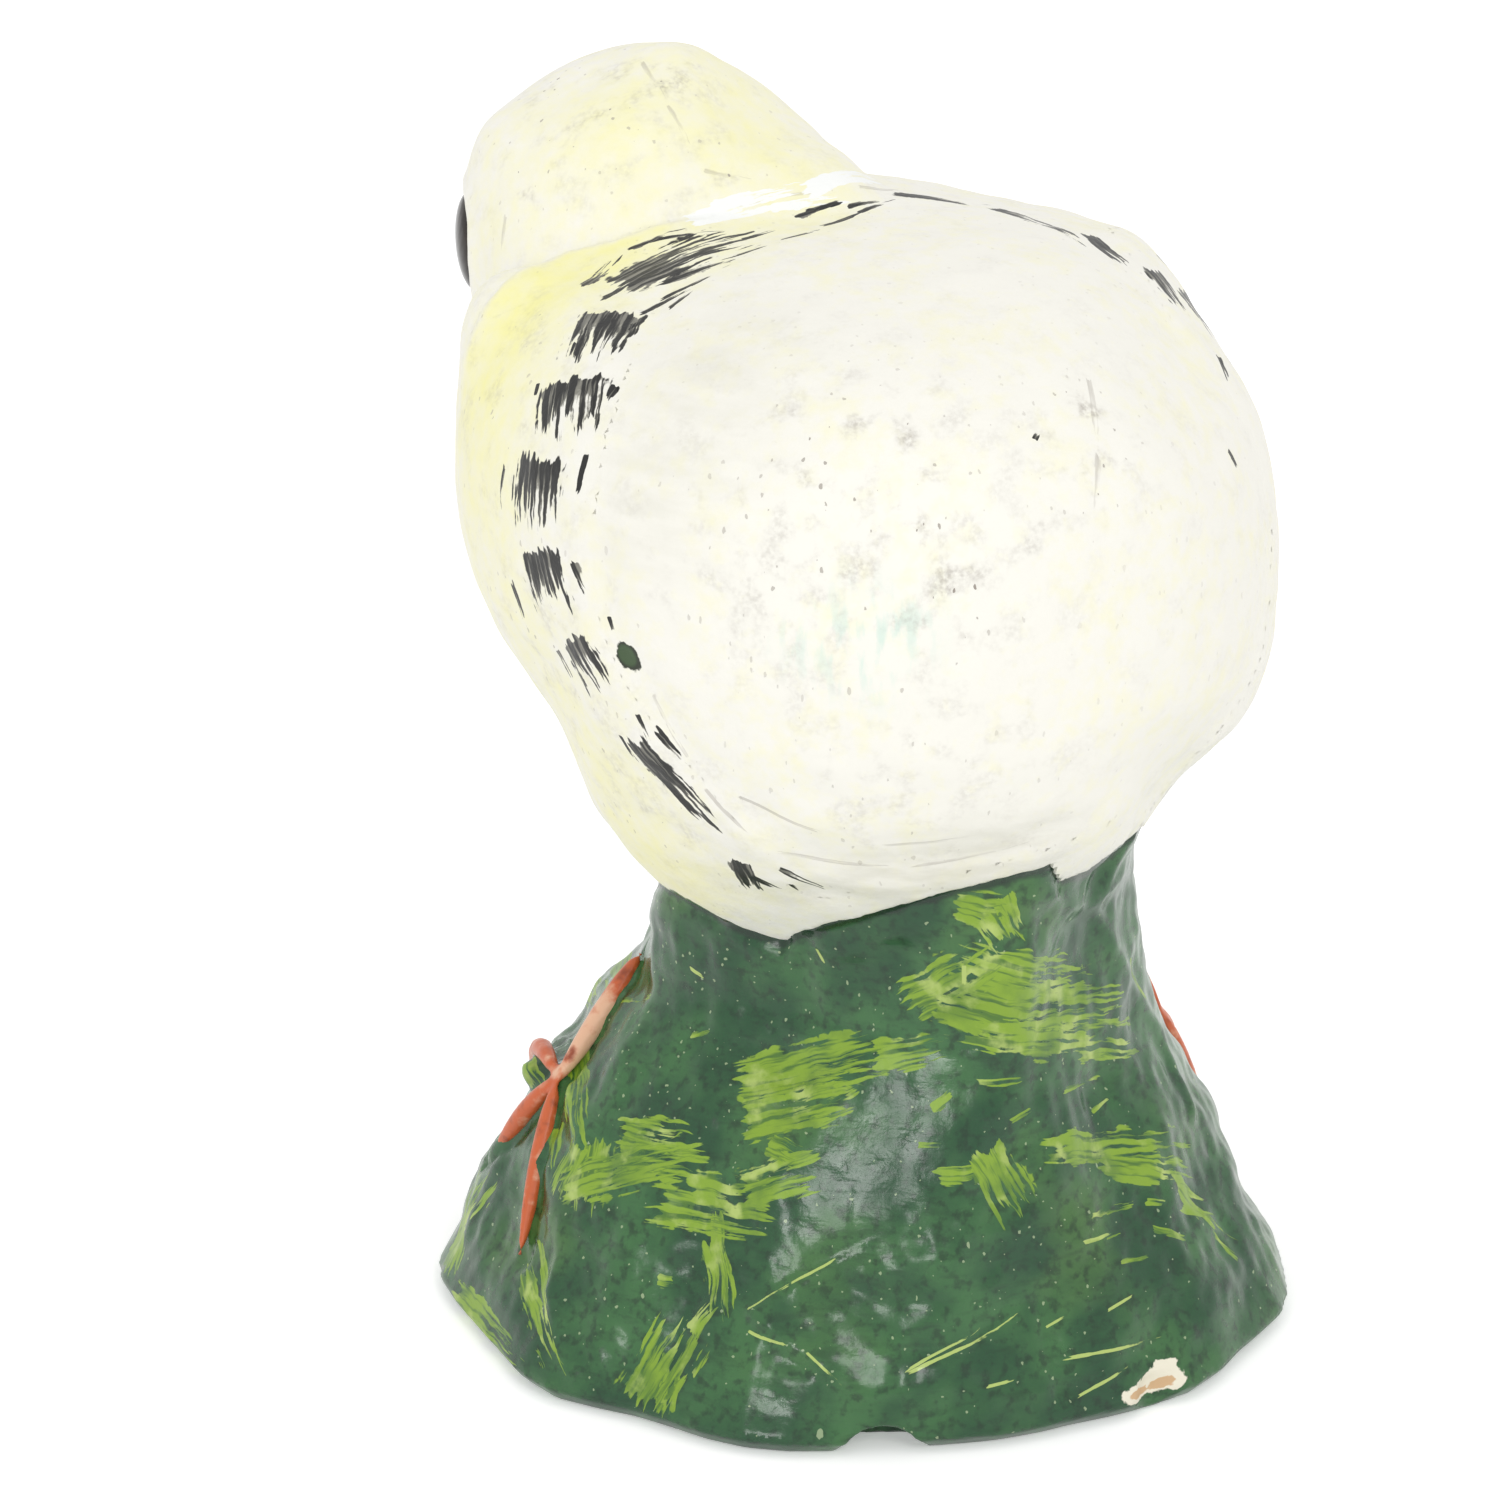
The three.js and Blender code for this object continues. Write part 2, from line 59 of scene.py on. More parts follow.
# %% Camera at the photograph's angle
PHOTO_SIDE = 1500
AIM_PIXEL = (868, 742)
PIXELS_PER_MM = 14
VIEW_TURN = math.radians(161)
VIEW_CLIMB = math.radians(22)
VIEW_DISTANCE = 520 * MM
VIEW_AIM = Vector((0, 0, 42 * MM))

view_right = Vector((math.cos(VIEW_TURN), math.sin(VIEW_TURN), 0))
level_ahead = Vector((-math.sin(VIEW_TURN), math.cos(VIEW_TURN), 0))
view_ahead = level_ahead * math.cos(VIEW_CLIMB) - Vector((0, 0, math.sin(VIEW_CLIMB)))
view_up = view_right.cross(view_ahead)
view_spot = VIEW_AIM - view_ahead * VIEW_DISTANCE

lens = bpy.data.cameras.new("photo_camera")
lens.lens = lens.sensor_width * VIEW_DISTANCE / (PHOTO_SIDE / PIXELS_PER_MM * MM)
lens.shift_x = (PHOTO_SIDE / 2 - AIM_PIXEL[0]) / PHOTO_SIDE
lens.shift_y = (AIM_PIXEL[1] - PHOTO_SIDE / 2) / PHOTO_SIDE
camera = bpy.data.objects.new("photo_camera", lens)
facing = Matrix((view_right, view_up, -view_ahead)).transposed().to_4x4()
camera.matrix_world = Matrix.Translation(view_spot) @ facing
bpy.context.scene.collection.objects.link(camera)
bpy.context.scene.camera = camera
print("lens", round(lens.lens, 1), "mm, shift", round(lens.shift_x, 4), round(lens.shift_y, 4))


def photo_ray(pixel):
    """The direction from the camera through a pixel of the photograph."""
    aside = (pixel[0] - AIM_PIXEL[0]) / PIXELS_PER_MM * MM
    above = (AIM_PIXEL[1] - pixel[1]) / PIXELS_PER_MM * MM
    return (view_ahead * VIEW_DISTANCE + view_right * aside + view_up * above).normalized()


# %% [markdown]
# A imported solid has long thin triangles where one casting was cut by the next, and they take neither
# relief nor smooth shading well. Sculptors meet the same trouble and remesh. Here each casting is
# copied, its doubles are merged, it swells by a hair to close the glue gaps, and a voxel remesh gives
# it square faces of one size. A Smooth modifier then irons out the facets of the solid.

# %% Helpers for even skins
MERGE_DISTANCE = 0.002 * MM


def merged_copy(*names):
    """One bmesh holding copies of the named castings, with their doubles merged."""
    mesh = bmesh.new()
    for name in names:
        mesh.from_mesh(nodes[name].data)
    bmesh.ops.remove_doubles(mesh, verts=mesh.verts, dist=MERGE_DISTANCE)
    return mesh


def swell(mesh, amount):
    """Moves every vertex of a bmesh along its normal."""
    mesh.normal_update()
    for vertex in mesh.verts:
        vertex.co += vertex.normal * amount


def open_mesh(piece):
    """A bmesh that holds a copy of the piece's mesh."""
    mesh = bmesh.new()
    mesh.from_mesh(piece.data)
    return mesh


def close_mesh(piece, mesh):
    """Writes a bmesh into the piece's mesh."""
    mesh.to_mesh(piece.data)
    mesh.free()


def add_piece(name, mesh):
    """A new smooth-shaded object at the origin that holds this bmesh."""
    for face in mesh.faces:
        face.smooth = True
    piece = bpy.data.objects.new(name, bpy.data.meshes.new(name))
    close_mesh(piece, mesh)
    bpy.context.scene.collection.objects.link(piece)
    return piece


def bake_modifiers(piece):
    """The piece's mesh becomes what its modifiers make of it."""
    made = bpy.data.meshes.new_from_object(piece.evaluated_get(bpy.context.evaluated_depsgraph_get()))
    piece.modifiers.clear()
    piece.data = made
    made.shade_smooth()


def drop_inner_shells(piece):
    """Keeps the biggest connected shell of a piece and says how many others went."""
    mesh = open_mesh(piece)
    left = set(mesh.verts)
    shells = []
    while left:
        shell, edge_of_shell = set(), [left.pop()]
        while edge_of_shell:
            vertex = edge_of_shell.pop()
            shell.add(vertex)
            for edge in vertex.link_edges:
                other = edge.other_vert(vertex)
                if other in left:
                    left.remove(other)
                    edge_of_shell.append(other)
        shells.append(shell)
    shells.sort(key=len)
    spare = [vertex for shell in shells[:-1] for vertex in shell]
    bmesh.ops.delete(mesh, geom=spare, context="VERTS")
    close_mesh(piece, mesh)
    return len(shells) - 1


def even_skin(name, castings, swelling, voxel):
    """A piece with an even skin of square faces over the castings."""
    mesh = merged_copy(*castings)
    swell(mesh, swelling)
    piece = add_piece(name, mesh)
    remesh = piece.modifiers.new("even faces", "REMESH")
    remesh.mode = "VOXEL"
    remesh.voxel_size = voxel
    bake_modifiers(piece)
    print(name, len(piece.data.vertices), "vertices,", drop_inner_shells(piece), "inner shells dropped")
    return piece


# %% [markdown]
# A skin has far too many vertices to move one at a time in Python, so their places and normals are
# read and written as whole tables of numbers. Pressing and ironing are the moves all skins share.

# %% Helpers to press and iron a skin
IRON_FACTOR = 0.5
KEEP_STEPS = 10


def rows_of(piece, field):
    """One row of x, y and z per vertex: its place for co, its normal for normal."""
    rows = np.empty(len(piece.data.vertices) * 3, np.float32)
    piece.data.vertices.foreach_get(field, rows)
    return rows.reshape(-1, 3).astype(float)


def points_of(piece):
    """The places of the piece's vertices in metres."""
    return rows_of(piece, "co")


def normals_of(piece):
    return rows_of(piece, "normal")


def set_points(piece, spots):
    """Moves the piece's vertices to these places."""
    piece.data.vertices.foreach_set("co", spots.astype(np.float32).ravel())
    piece.data.update()


def press(piece, heights):
    """Moves the vertices along their normals, all by one height or each by its own."""
    set_points(piece, points_of(piece) + normals_of(piece) * np.reshape(heights, (-1, 1)))


def iron(piece, turns, keep=None):
    """Smooths the piece; where keep is near 1 the shape stays as it is."""
    smooth = piece.modifiers.new("iron", "SMOOTH")
    smooth.factor = IRON_FACTOR
    smooth.iterations = turns
    if keep is not None:
        group = piece.vertex_groups.new(name="ironed")
        shares = np.round((1 - keep) * KEEP_STEPS).astype(int)
        for share in range(1, KEEP_STEPS + 1):
            group.add(np.flatnonzero(shares == share).tolist(), share / KEEP_STEPS, "REPLACE")
        smooth.vertex_group = group.name
    bake_modifiers(piece)
    piece.vertex_groups.clear()


# %% [markdown]
# Relief and paint both ask how far a vertex is from something. A tree of the faces answers that
# quickly, and a few smooth curves turn a distance into a step, a hump or a field of lumps.

# %% Helpers to measure a skin
LUMP_WAVES = 14
LUMP_SCALE = 4


def tree_of(piece):
    """A tree that answers nearest-point and ray questions about a piece's mesh."""
    return BVHTree.FromObject(piece, bpy.context.evaluated_depsgraph_get())


def distances(tree, spots):
    """How far each point is from the tree's surface."""
    return np.array([tree.find_nearest(spot)[3] for spot in spots])


def smoothstep(low, high, values):
    """Rises from 0 at low to 1 at high without corners."""
    share = np.clip((values - low) / (high - low), 0, 1)
    return share * share * (3 - 2 * share)


def lumps(spots, length, seed):
    """A smooth random field of about that wave length, mostly between -1 and 1."""
    draw = np.random.default_rng(seed)
    ways = draw.normal(size=(LUMP_WAVES, 3))
    ways /= np.linalg.norm(ways, axis=1)[:, None]
    phases = draw.uniform(0, 2 * math.pi, LUMP_WAVES)
    return np.sin(spots @ ways.T * (2 * math.pi / length) + phases).sum(1) / LUMP_SCALE


def lumpy(spots, table):
    """The sum of random fields, each given by its height, wave length and seed."""
    return sum(height * lumps(spots, length, seed) for height, length, seed in table)


def hump(distance, width):
    """1 at no distance, falling softly to nothing at about twice the width."""
    return np.exp(-((distance / width) ** 2))


# %% [markdown]
# The bird is a body, a head, two wing pads and a tail pad, glued up and painted over until no joint
# shows. One skin over all five gives that run-together surface, with a soft fillet round the neck.
# It swells to close the glue gaps and shrinks back after the remesh. The painted rim under the tail
# is crisp on the real one, so the ironing spares it.

# %% One skin over the whole bird
BODY_CASTINGS = ("body", "left_wing", "right_wing", "tail")
GAP_CLOSING = 0.22 * MM
BIRD_VOXEL = 0.395 * MM
RIM_LEVEL = 36 * MM
RIM_FADE = 3 * MM
RIM_SPARED = 0.85
BIRD_IRONING = 60

bird = even_skin("bird", BODY_CASTINGS + ("head",), GAP_CLOSING, BIRD_VOXEL)
rim_keep = 1 - smoothstep(RIM_LEVEL - RIM_FADE, RIM_LEVEL + RIM_FADE, points_of(bird)[:, 2])
iron(bird, BIRD_IRONING, RIM_SPARED * rim_keep)
press(bird, -GAP_CLOSING)

# %% [markdown]
# A few lines of the relief and most of the brush strokes were picked in the photograph. A ray
# through each picked pixel finds its place on the skin, so that a line lies on the casting and is
# right from any side. A line or stroke measured in the picture alone would only fit one view.

# %% Cast picked pixels onto a skin
def land(tree, pixel):
    """Where the ray through a pixel meets the skin, with the normal there, or None."""
    spot, normal, face, reach = tree.ray_cast(view_spot, photo_ray(pixel))
    return (spot, normal) if spot else None


def picture_place(spots):
    """The photograph pixel that each point shows at, as columns x and y."""
    ray = spots - np.array(view_spot)
    scale = VIEW_DISTANCE * PIXELS_PER_MM / MM / (ray @ np.array(view_ahead))
    aside, above = ray @ np.array(view_right), ray @ np.array(view_up)
    return AIM_PIXEL[0] + aside * scale, AIM_PIXEL[1] - above * scale


def soft_spots(spots, tree, table):
    """The sum of soft round spots, each given by its pixel, radius in mm and strength."""
    field = np.zeros(len(spots))
    for x, y, radius, strength in table:
        hit = land(tree, (x, y))
        if hit:
            gap = np.linalg.norm(spots - np.array(hit[0]), axis=1)
            field += strength * hump(gap, radius * MM)
    return field


def trims(spots, table):
    """Depth in mm of soft ovals in the picture: pixel, half width, half height and depth of each."""
    across, down = picture_place(spots)
    field = np.zeros(len(spots))
    for x, y, wide, high, depth in table:
        field += depth * hump(across - x, wide) * hump(down - y, high)
    return field


def path_distance(spots, tree, pixels):
    """Distance of each point from the line through picked pixels, and how far it lies to its left."""
    corners = [land(tree, pixel) for pixel in pixels]
    nearest = np.full(len(spots), np.inf)
    bank = np.zeros(len(spots))
    for (start, normal), (end, _) in zip(corners, corners[1:]):
        run = np.array(end - start)
        share = np.clip((spots - np.array(start)) @ run / (run @ run), 0, 1)
        gap = spots - np.array(start) - share[:, None] * run
        length = np.linalg.norm(gap, axis=1)
        closer = length < nearest
        leftward = np.array(normal.cross(end - start).normalized())
        bank = np.where(closer, gap @ leftward, bank)
        nearest = np.where(closer, length, nearest)
    return nearest, bank


# %% [markdown]
# The white rim. Under the tail the ivory paint ends in a crisp lip, a little above the joint with the
# mound on one side and right at it in a pointed tip. The line was picked in the photograph; a vertex
# keeps how far below it lies. The same number presses the lip, parts the bird's skin from the mound's
# and later parts the two paints. On the side that doesn't show, the joint itself is the rim.

# %% How far below the white rim
RIM_LINE = (
    (640, 874), (664, 886), (700, 906), (742, 930), (784, 946), (800, 936), (859, 918), (960, 890),
    (1042, 871), (1051, 866), (1058, 882), (1087, 872), (1134, 836), (1141, 828), (1170, 838),
)
RIM_TOP = 46 * MM
RIM_CLIP = 3.0
TURN_AWAY = (-1 * MM, 4 * MM)

casting_trees = {name: tree_of(nodes[name]) for name in nodes}


def to_castings(names, spots):
    """How far each point is from the nearest of the named castings."""
    return np.min([distances(casting_trees[name], spots) for name in names], axis=0)


def below_rim(spots):
    """How many mm a vertex lies below the white rim, or how many above it, as a negative number."""
    across, down = picture_place(spots)
    rim_x, rim_y = zip(*RIM_LINE)
    shown = np.clip((down - np.interp(across, rim_x, rim_y)) / PIXELS_PER_MM, -RIM_CLIP, RIM_CLIP)
    joint = np.full(len(spots), -RIM_CLIP)
    low = np.flatnonzero(spots[:, 2] < RIM_TOP)
    past_joint = to_castings(BODY_CASTINGS, spots[low]) - to_castings(["mound"], spots[low])
    joint[low] = np.clip(past_joint / MM, -RIM_CLIP, RIM_CLIP)
    turned = smoothstep(*TURN_AWAY, spots[:, :2] @ np.array(view_ahead.xy.normalized()))
    return shown * (1 - turned) + joint * turned


print("rim line through", len(RIM_LINE), "picked points")

# %% [markdown]
# Beside the neck the real bird has hardly a notch, so the skin is raised there by a soft round fill
# that stays clear of the eye. The crown is less of a dome than a ball would be: soft dents before and
# behind its peak. The outline of the back is trimmed by a millimetre or two to the photograph's.

# %% Fill the notch beside the neck, dent the crown, trim the outline
EYE_NODES = ("left_eye", "right_eye")
EYE_CLEARANCE = (0.4 * MM, 2 * MM)
# x and y in photograph pixels, then the radius in mm and the height in mm
NECK_NOTCH = (500, 306, 4.4, 2.1)
CROWN_DENTS = ((590, 74, 5.0, -1.1), (770, 108, 6.0, -1.4), (680, 52, 3.5, 0.8), (492, 135, 3.4, 0.9))
# x and y in photograph pixels, half width and half height in pixels, then the depth in mm
BACK_TRIMS = (
    (1215, 320, 90, 110, 1.6), (1195, 800, 85, 85, 1.7), (545, 720, 40, 120, 0.75),
    (1000, 190, 120, 35, 0.55),
)

bird_tree = tree_of(bird)
spots = points_of(bird)
to_eyes = to_castings(EYE_NODES, spots)
fill = soft_spots(spots, bird_tree, [NECK_NOTCH]) * smoothstep(*EYE_CLEARANCE, to_eyes)
press(bird, MM * (fill + soft_spots(spots, bird_tree, CROWN_DENTS) - trims(spots, BACK_TRIMS)))
print("notch filled by up to", round(fill.max(), 2), "mm")

# %% [markdown]
# The relief of the back: a shallow valley parts the round disc from the barred band beside it, and at
# the bottom the disc turns under in a soft roll. The shoulder laps over the head in a fold. All are
# pressed along lines picked in the photograph. Two sizes of lumps stand for the hand of the modeller.
# Below the white rim the skin tucks in under the mound's.

# %% Press the relief of the back
DISC_EDGE = (
    (752, 238), (660, 310), (618, 390), (590, 480), (590, 590), (615, 660), (655, 725), (725, 815),
)
DISC_ROLL = ((725, 815), (790, 872), (900, 878), (1050, 845), (1125, 800))
SHOULDER_FOLD = ((471, 346), (481, 320), (498, 293), (531, 268), (566, 255), (614, 244), (680, 224))
VALLEY_DEPTH = 0.22 * MM
VALLEY_WIDTH = 1.9 * MM
ROLL_HEIGHT = 0.25 * MM
ROLL_WIDTH = 1.6 * MM
FOLD_STEP = 0.55 * MM
FOLD_EDGE = 0.35 * MM
FOLD_RUN = 3.0 * MM
RIM_STEP = 0.4 * MM
RIM_TUCK = 0.9 * MM
RIM_EDGE = (-0.1 * MM, 0.3 * MM)
LID_RING = 1.7 * MM
LID_HEIGHT = 0.2 * MM
LID_WIDTH = 0.6 * MM
# height, wave length and seed
BODY_LUMPS = ((0.16 * MM, 15 * MM, 1), (0.05 * MM, 4 * MM, 2))

bird_tree = tree_of(bird)
spots = points_of(bird)
valley, _ = path_distance(spots, bird_tree, DISC_EDGE)
roll, _ = path_distance(spots, bird_tree, DISC_ROLL)
fold, head_bank = path_distance(spots, bird_tree, SHOULDER_FOLD)
relief = ROLL_HEIGHT * hump(roll, ROLL_WIDTH) - VALLEY_DEPTH * hump(valley, VALLEY_WIDTH)
relief += FOLD_STEP * smoothstep(-FOLD_EDGE, FOLD_EDGE, -head_bank) * hump(fold, FOLD_RUN)
relief += LID_HEIGHT * hump(to_eyes - LID_RING, LID_WIDTH)
relief += lumpy(spots, BODY_LUMPS)
relief -= (RIM_STEP + RIM_TUCK) * smoothstep(*RIM_EDGE, below_rim(spots) * MM)
press(bird, relief)
bird_tree = tree_of(bird)
print("relief from", round(relief.min() / MM, 2), "to", round(relief.max() / MM, 2), "mm")

# %% [markdown]
# The head parts from the body again in one flat cut at the neck. The cut's place comes from the
# castings: it is where the skin lies close to the head and to the body at once. Bisecting the skin
# there twice gives two closed pieces that share one hidden face.

# %% Part the head from the body
NECK_REACH = 0.9 * MM

spots = points_of(bird)
near_head = spots[to_castings(["head"], spots) < NECK_REACH]
seam = near_head[to_castings(BODY_CASTINGS, near_head) < NECK_REACH]
neck_spot = Vector(seam.mean(0))
seam_ways = np.linalg.svd(seam - seam.mean(0), full_matrices=False)[2]
neck_way = Vector(seam_ways[2] * np.sign(seam_ways[2][2]))
print("neck cut at", [round(v / MM, 1) for v in neck_spot], "facing", [round(v, 2) for v in neck_way])


def cut_skin(name, above):
    """The part of the bird's skin above or below the neck, closed with a flat face."""
    mesh = open_mesh(bird)
    whole = mesh.verts[:] + mesh.edges[:] + mesh.faces[:]
    bmesh.ops.bisect_plane(
        mesh, geom=whole, plane_co=neck_spot, plane_no=neck_way, clear_inner=above, clear_outer=not above
    )
    rim = [edge for edge in mesh.edges if edge.is_boundary]
    cap = bmesh.ops.holes_fill(mesh, edges=rim)["faces"]
    bmesh.ops.triangulate(mesh, faces=cap)
    bmesh.ops.recalc_face_normals(mesh, faces=mesh.faces)
    for edge in rim:
        edge.smooth = False
    return add_piece(name, mesh)


head = cut_skin("owl_head", True)
body = cut_skin("owl_body", False)
print("head", len(head.data.polygons), "faces, body", len(body.data.polygons), "faces")

# %% [markdown]
# Each wing and the tail is a thin pad let into the body. A pad is cut from the body's skin, where the
# pad's own casting lies nearest, and Solidify gives it its thickness, inwards. The body keeps its skin
# under the pad and sinks a little there, except along the pad's border, so that no gap opens.

# %% Lift the wing and tail pads from the skin
PAD_NAMES = BODY_CASTINGS[1:]
PAD_THICKNESS = 0.7 * MM
PAD_BED = 0.03 * MM
PAD_RIM_ANGLE = math.radians(50)

spots = points_of(body)
owner = np.argmin([to_castings([name], spots) for name in BODY_CASTINGS], axis=0)
bed = np.zeros(len(spots))
pads = {}
for number, name in enumerate(PAD_NAMES, start=1):
    mesh = open_mesh(body)
    for face in mesh.faces:
        face.tag = all(owner[corner.index] == number for corner in face.verts)
    for vertex in mesh.verts:
        if vertex.link_faces and all(face.tag for face in vertex.link_faces):
            bed[vertex.index] = -PAD_BED
    bmesh.ops.delete(mesh, geom=[face for face in mesh.faces if not face.tag], context="FACES")
    pads[name] = add_piece(name + "_pad", mesh)
    wall = pads[name].modifiers.new("pad thickness", "SOLIDIFY")
    wall.thickness = PAD_THICKNESS
    wall.offset = -1
    bake_modifiers(pads[name])
    pads[name].data.set_sharp_from_angle(angle=PAD_RIM_ANGLE)
    print(pads[name].name, len(pads[name].data.polygons), "faces")
press(body, bed)
bpy.data.objects.remove(bird)

# %% [markdown]
# The mound is one lumpy casting under thick gloss paint, and that paint runs on over the joint as far
# as the white rim. So its skin is taken over the mound and the bird's body at once, ironed less than
# the bird's, and cut off just above the rim, where the bird's own skin covers the edge.

# %% Mound skin
MOUND_VOXEL = 0.42 * MM
MOUND_SWELL = 0.12 * MM
FOOT_NODES = ("left_foot", "right_foot")
FOOT_LEVELS = (3 * MM, 8 * MM)
FOOT_SPARED = 0.8
MOUND_IRONING = 16
RIM_OVERLAP = 0.7

mound = even_skin("mossy_mound", ("mound",) + BODY_CASTINGS + FOOT_NODES, GAP_CLOSING, MOUND_VOXEL)
foot_keep = 1 - smoothstep(*FOOT_LEVELS, points_of(mound)[:, 2])
iron(mound, MOUND_IRONING, FOOT_SPARED * foot_keep)
press(mound, MOUND_SWELL - GAP_CLOSING)
rim_gap = below_rim(points_of(mound))
mesh = open_mesh(mound)
above = [face for face in mesh.faces if all(rim_gap[corner.index] < -RIM_OVERLAP for corner in face.verts)]
bmesh.ops.delete(mesh, geom=above, context="FACES")
close_mesh(mound, mesh)
print("parts of the bird dropped:", drop_inner_shells(mound))

# %% [markdown]
# The mound's relief: beds for the feet, a leaf shape, a crease and a few ridges along lines picked in
# the photograph, and lumps in three sizes. A flat facet under the tail catches the light in the
# photograph, so the skin is flattened there after the lumps.

# %% Beds for the feet
FOOT_BED = 0.5 * MM
FOOT_BED_EDGE = (0.3 * MM, 0.9 * MM)

to_feet = to_castings(FOOT_NODES, points_of(mound))
press(mound, -FOOT_BED * (1 - smoothstep(*FOOT_BED_EDGE, to_feet)))
mound_tree = tree_of(mound)
print("beds under", np.count_nonzero(to_feet < FOOT_BED_EDGE[0]), "vertices")

# %% Mound relief
LEAF_UPPER = ((745, 1312), (790, 1284), (841, 1256), (930, 1215))
LEAF_LOWER = ((745, 1312), (775, 1340), (810, 1365), (845, 1392))
CREASE = ((1045, 1300), (1050, 1340), (1062, 1392))
RIDGES = (
    ((560, 1080), (572, 1112), (580, 1150)),
    ((560, 1225), (548, 1290), (572, 1372)),
    ((716, 1215), (724, 1262), (716, 1300), (690, 1330)),
    ((735, 1112), (800, 1092), (880, 1058), (940, 1010)),
    ((1090, 900), (1120, 960), (1160, 1030), (1190, 1110)),
)
LEAF_STEP = 0.4 * MM
LEAF_EDGE = (-0.4 * MM, 0.4 * MM)
LEAF_FADE = (5 * MM, 17 * MM)
CREASE_DEPTH = 0.35 * MM
CREASE_WIDTH = 0.7 * MM
RIDGE_HEIGHT = 0.3 * MM
RIDGE_WIDTH = 0.8 * MM
SIDE_TRIMS = ((564, 1008, 26, 45, 1.5),)
JOINT_FILL = 0.6 * MM
JOINT_REACH = (0.2 * MM, 2 * MM)
JOINT_EDGE = (0, 1 * MM)
RIM_SLOPE = (0, 2.2 * MM)
TUCK_EDGE = (0.1 * MM, 0.6 * MM)
# height, wave length and seed
MOUND_LUMPS = ((0.35 * MM, 10 * MM, 3), (0.11 * MM, 4 * MM, 4), (0.05 * MM, 1.8 * MM, 5))
LUMPS_ABOVE_FOOT = (1.5 * MM, 5 * MM)
LUMPS_BELOW_RIM = (0.5 * MM, 3 * MM)

spots = points_of(mound)
_, upper_bank = path_distance(spots, mound_tree, LEAF_UPPER)
_, lower_bank = path_distance(spots, mound_tree, LEAF_LOWER)
crease, _ = path_distance(spots, mound_tree, CREASE)
leaf_tip = np.array(land(mound_tree, LEAF_UPPER[0])[0])
leaf_fade = 1 - smoothstep(*LEAF_FADE, np.linalg.norm(spots - leaf_tip, axis=1))
in_leaf = smoothstep(*LEAF_EDGE, -upper_bank) * smoothstep(*LEAF_EDGE, lower_bank)
relief = LEAF_STEP * in_leaf * leaf_fade - CREASE_DEPTH * hump(crease, CREASE_WIDTH)
for line in RIDGES:
    ridge, _ = path_distance(spots, mound_tree, line)
    relief += RIDGE_HEIGHT * hump(ridge, RIDGE_WIDTH)
relief -= MM * trims(spots, SIDE_TRIMS + BACK_TRIMS)
rim_gap = below_rim(spots) * MM
to_joint = np.maximum(to_castings(BODY_CASTINGS, spots), to_castings(["mound"], spots))
relief += JOINT_FILL * (1 - smoothstep(*JOINT_REACH, to_joint)) * smoothstep(*JOINT_EDGE, rim_gap)
sides = smoothstep(*LUMPS_ABOVE_FOOT, spots[:, 2]) * smoothstep(*LUMPS_BELOW_RIM, rim_gap)
relief += sides * lumpy(spots, MOUND_LUMPS)
relief -= RIM_STEP * (1 - smoothstep(*RIM_SLOPE, rim_gap))
relief -= RIM_TUCK * smoothstep(*TUCK_EDGE, -rim_gap)
press(mound, relief)
print("mound relief from", round(relief.min() / MM, 2), "to", round(relief.max() / MM, 2), "mm")

# %% Flatten the facet that catches the light
FACET_ENDS = ((815, 1205), (975, 1060))
FACET_FLAT = 4.0 * MM
FACET_REACH = 7.5 * MM
FACET_STRETCH = 0.45
FACET_SHARE = 0.8

facet_low, facet_high = (np.array(land(mound_tree, pixel)[0]) for pixel in FACET_ENDS)
facet_run = (facet_high - facet_low) / np.linalg.norm(facet_high - facet_low)
spots, normals = points_of(mound), normals_of(mound)
facet_gap = spots - (facet_low + facet_high) / 2
facet_gap = np.linalg.norm(facet_gap - FACET_STRETCH * np.outer(facet_gap @ facet_run, facet_run), axis=1)
in_facet = facet_gap < FACET_FLAT
facet_way = normals[in_facet].mean(0)
facet_way /= np.linalg.norm(facet_way)
facet_middle = spots[in_facet].mean(0)
flatten = (1 - smoothstep(FACET_FLAT, FACET_REACH, facet_gap)) * ((spots - facet_middle) @ facet_way)
press(mound, -FACET_SHARE * flatten * np.clip(normals @ facet_way, 0, 1))
print("facet faces", [round(v, 2) for v in facet_way])

# %% [markdown]
# The edge of the mound's skin above the white rim goes under the bird's skin for good: each vertex
# there moves to a set depth below the nearest place on the bird. The open edge is then drawn in to one
# point inside the bird, which closes the skin out of sight. The foot is pressed flat where it stands.

# %% Tuck the edge under the bird
TUCK_DEPTH = 0.6 * MM
INSIDE_BIRD = Vector((0, 0, 52 * MM))

spots = points_of(mound)
for index in np.flatnonzero(rim_gap < 0):
    spot, out, face, reach = bird_tree.find_nearest(spots[index])
    height = out.dot(Vector(spots[index]) - spot)
    if height > -TUCK_DEPTH:
        spots[index] -= np.array(out) * (height + TUCK_DEPTH)
spots[:, 2] = np.maximum(spots[:, 2], 0)
set_points(mound, spots)
mesh = open_mesh(mound)
edge_of_skin = [edge for edge in mesh.edges if edge.is_boundary]
drawn_in = bmesh.ops.extrude_edge_only(mesh, edges=edge_of_skin)["geom"]
drawn_in = [part for part in drawn_in if isinstance(part, bmesh.types.BMVert)]
bmesh.ops.pointmerge(mesh, verts=drawn_in, merge_co=INSIDE_BIRD)
bmesh.ops.recalc_face_normals(mesh, faces=mesh.faces)
if mesh.calc_volume(signed=True) < 0:
    bmesh.ops.reverse_faces(mesh, faces=mesh.faces)
close_mesh(mound, mesh)
mound_tree = tree_of(mound)
print("mound", len(mound.data.polygons), "faces")

# %% [markdown]
# Feet, eyes and beak are small castings with clean outlines. The feet get a fine skin. The eyes and
# the beak keep their faces and round off under a Subdivision Surface.

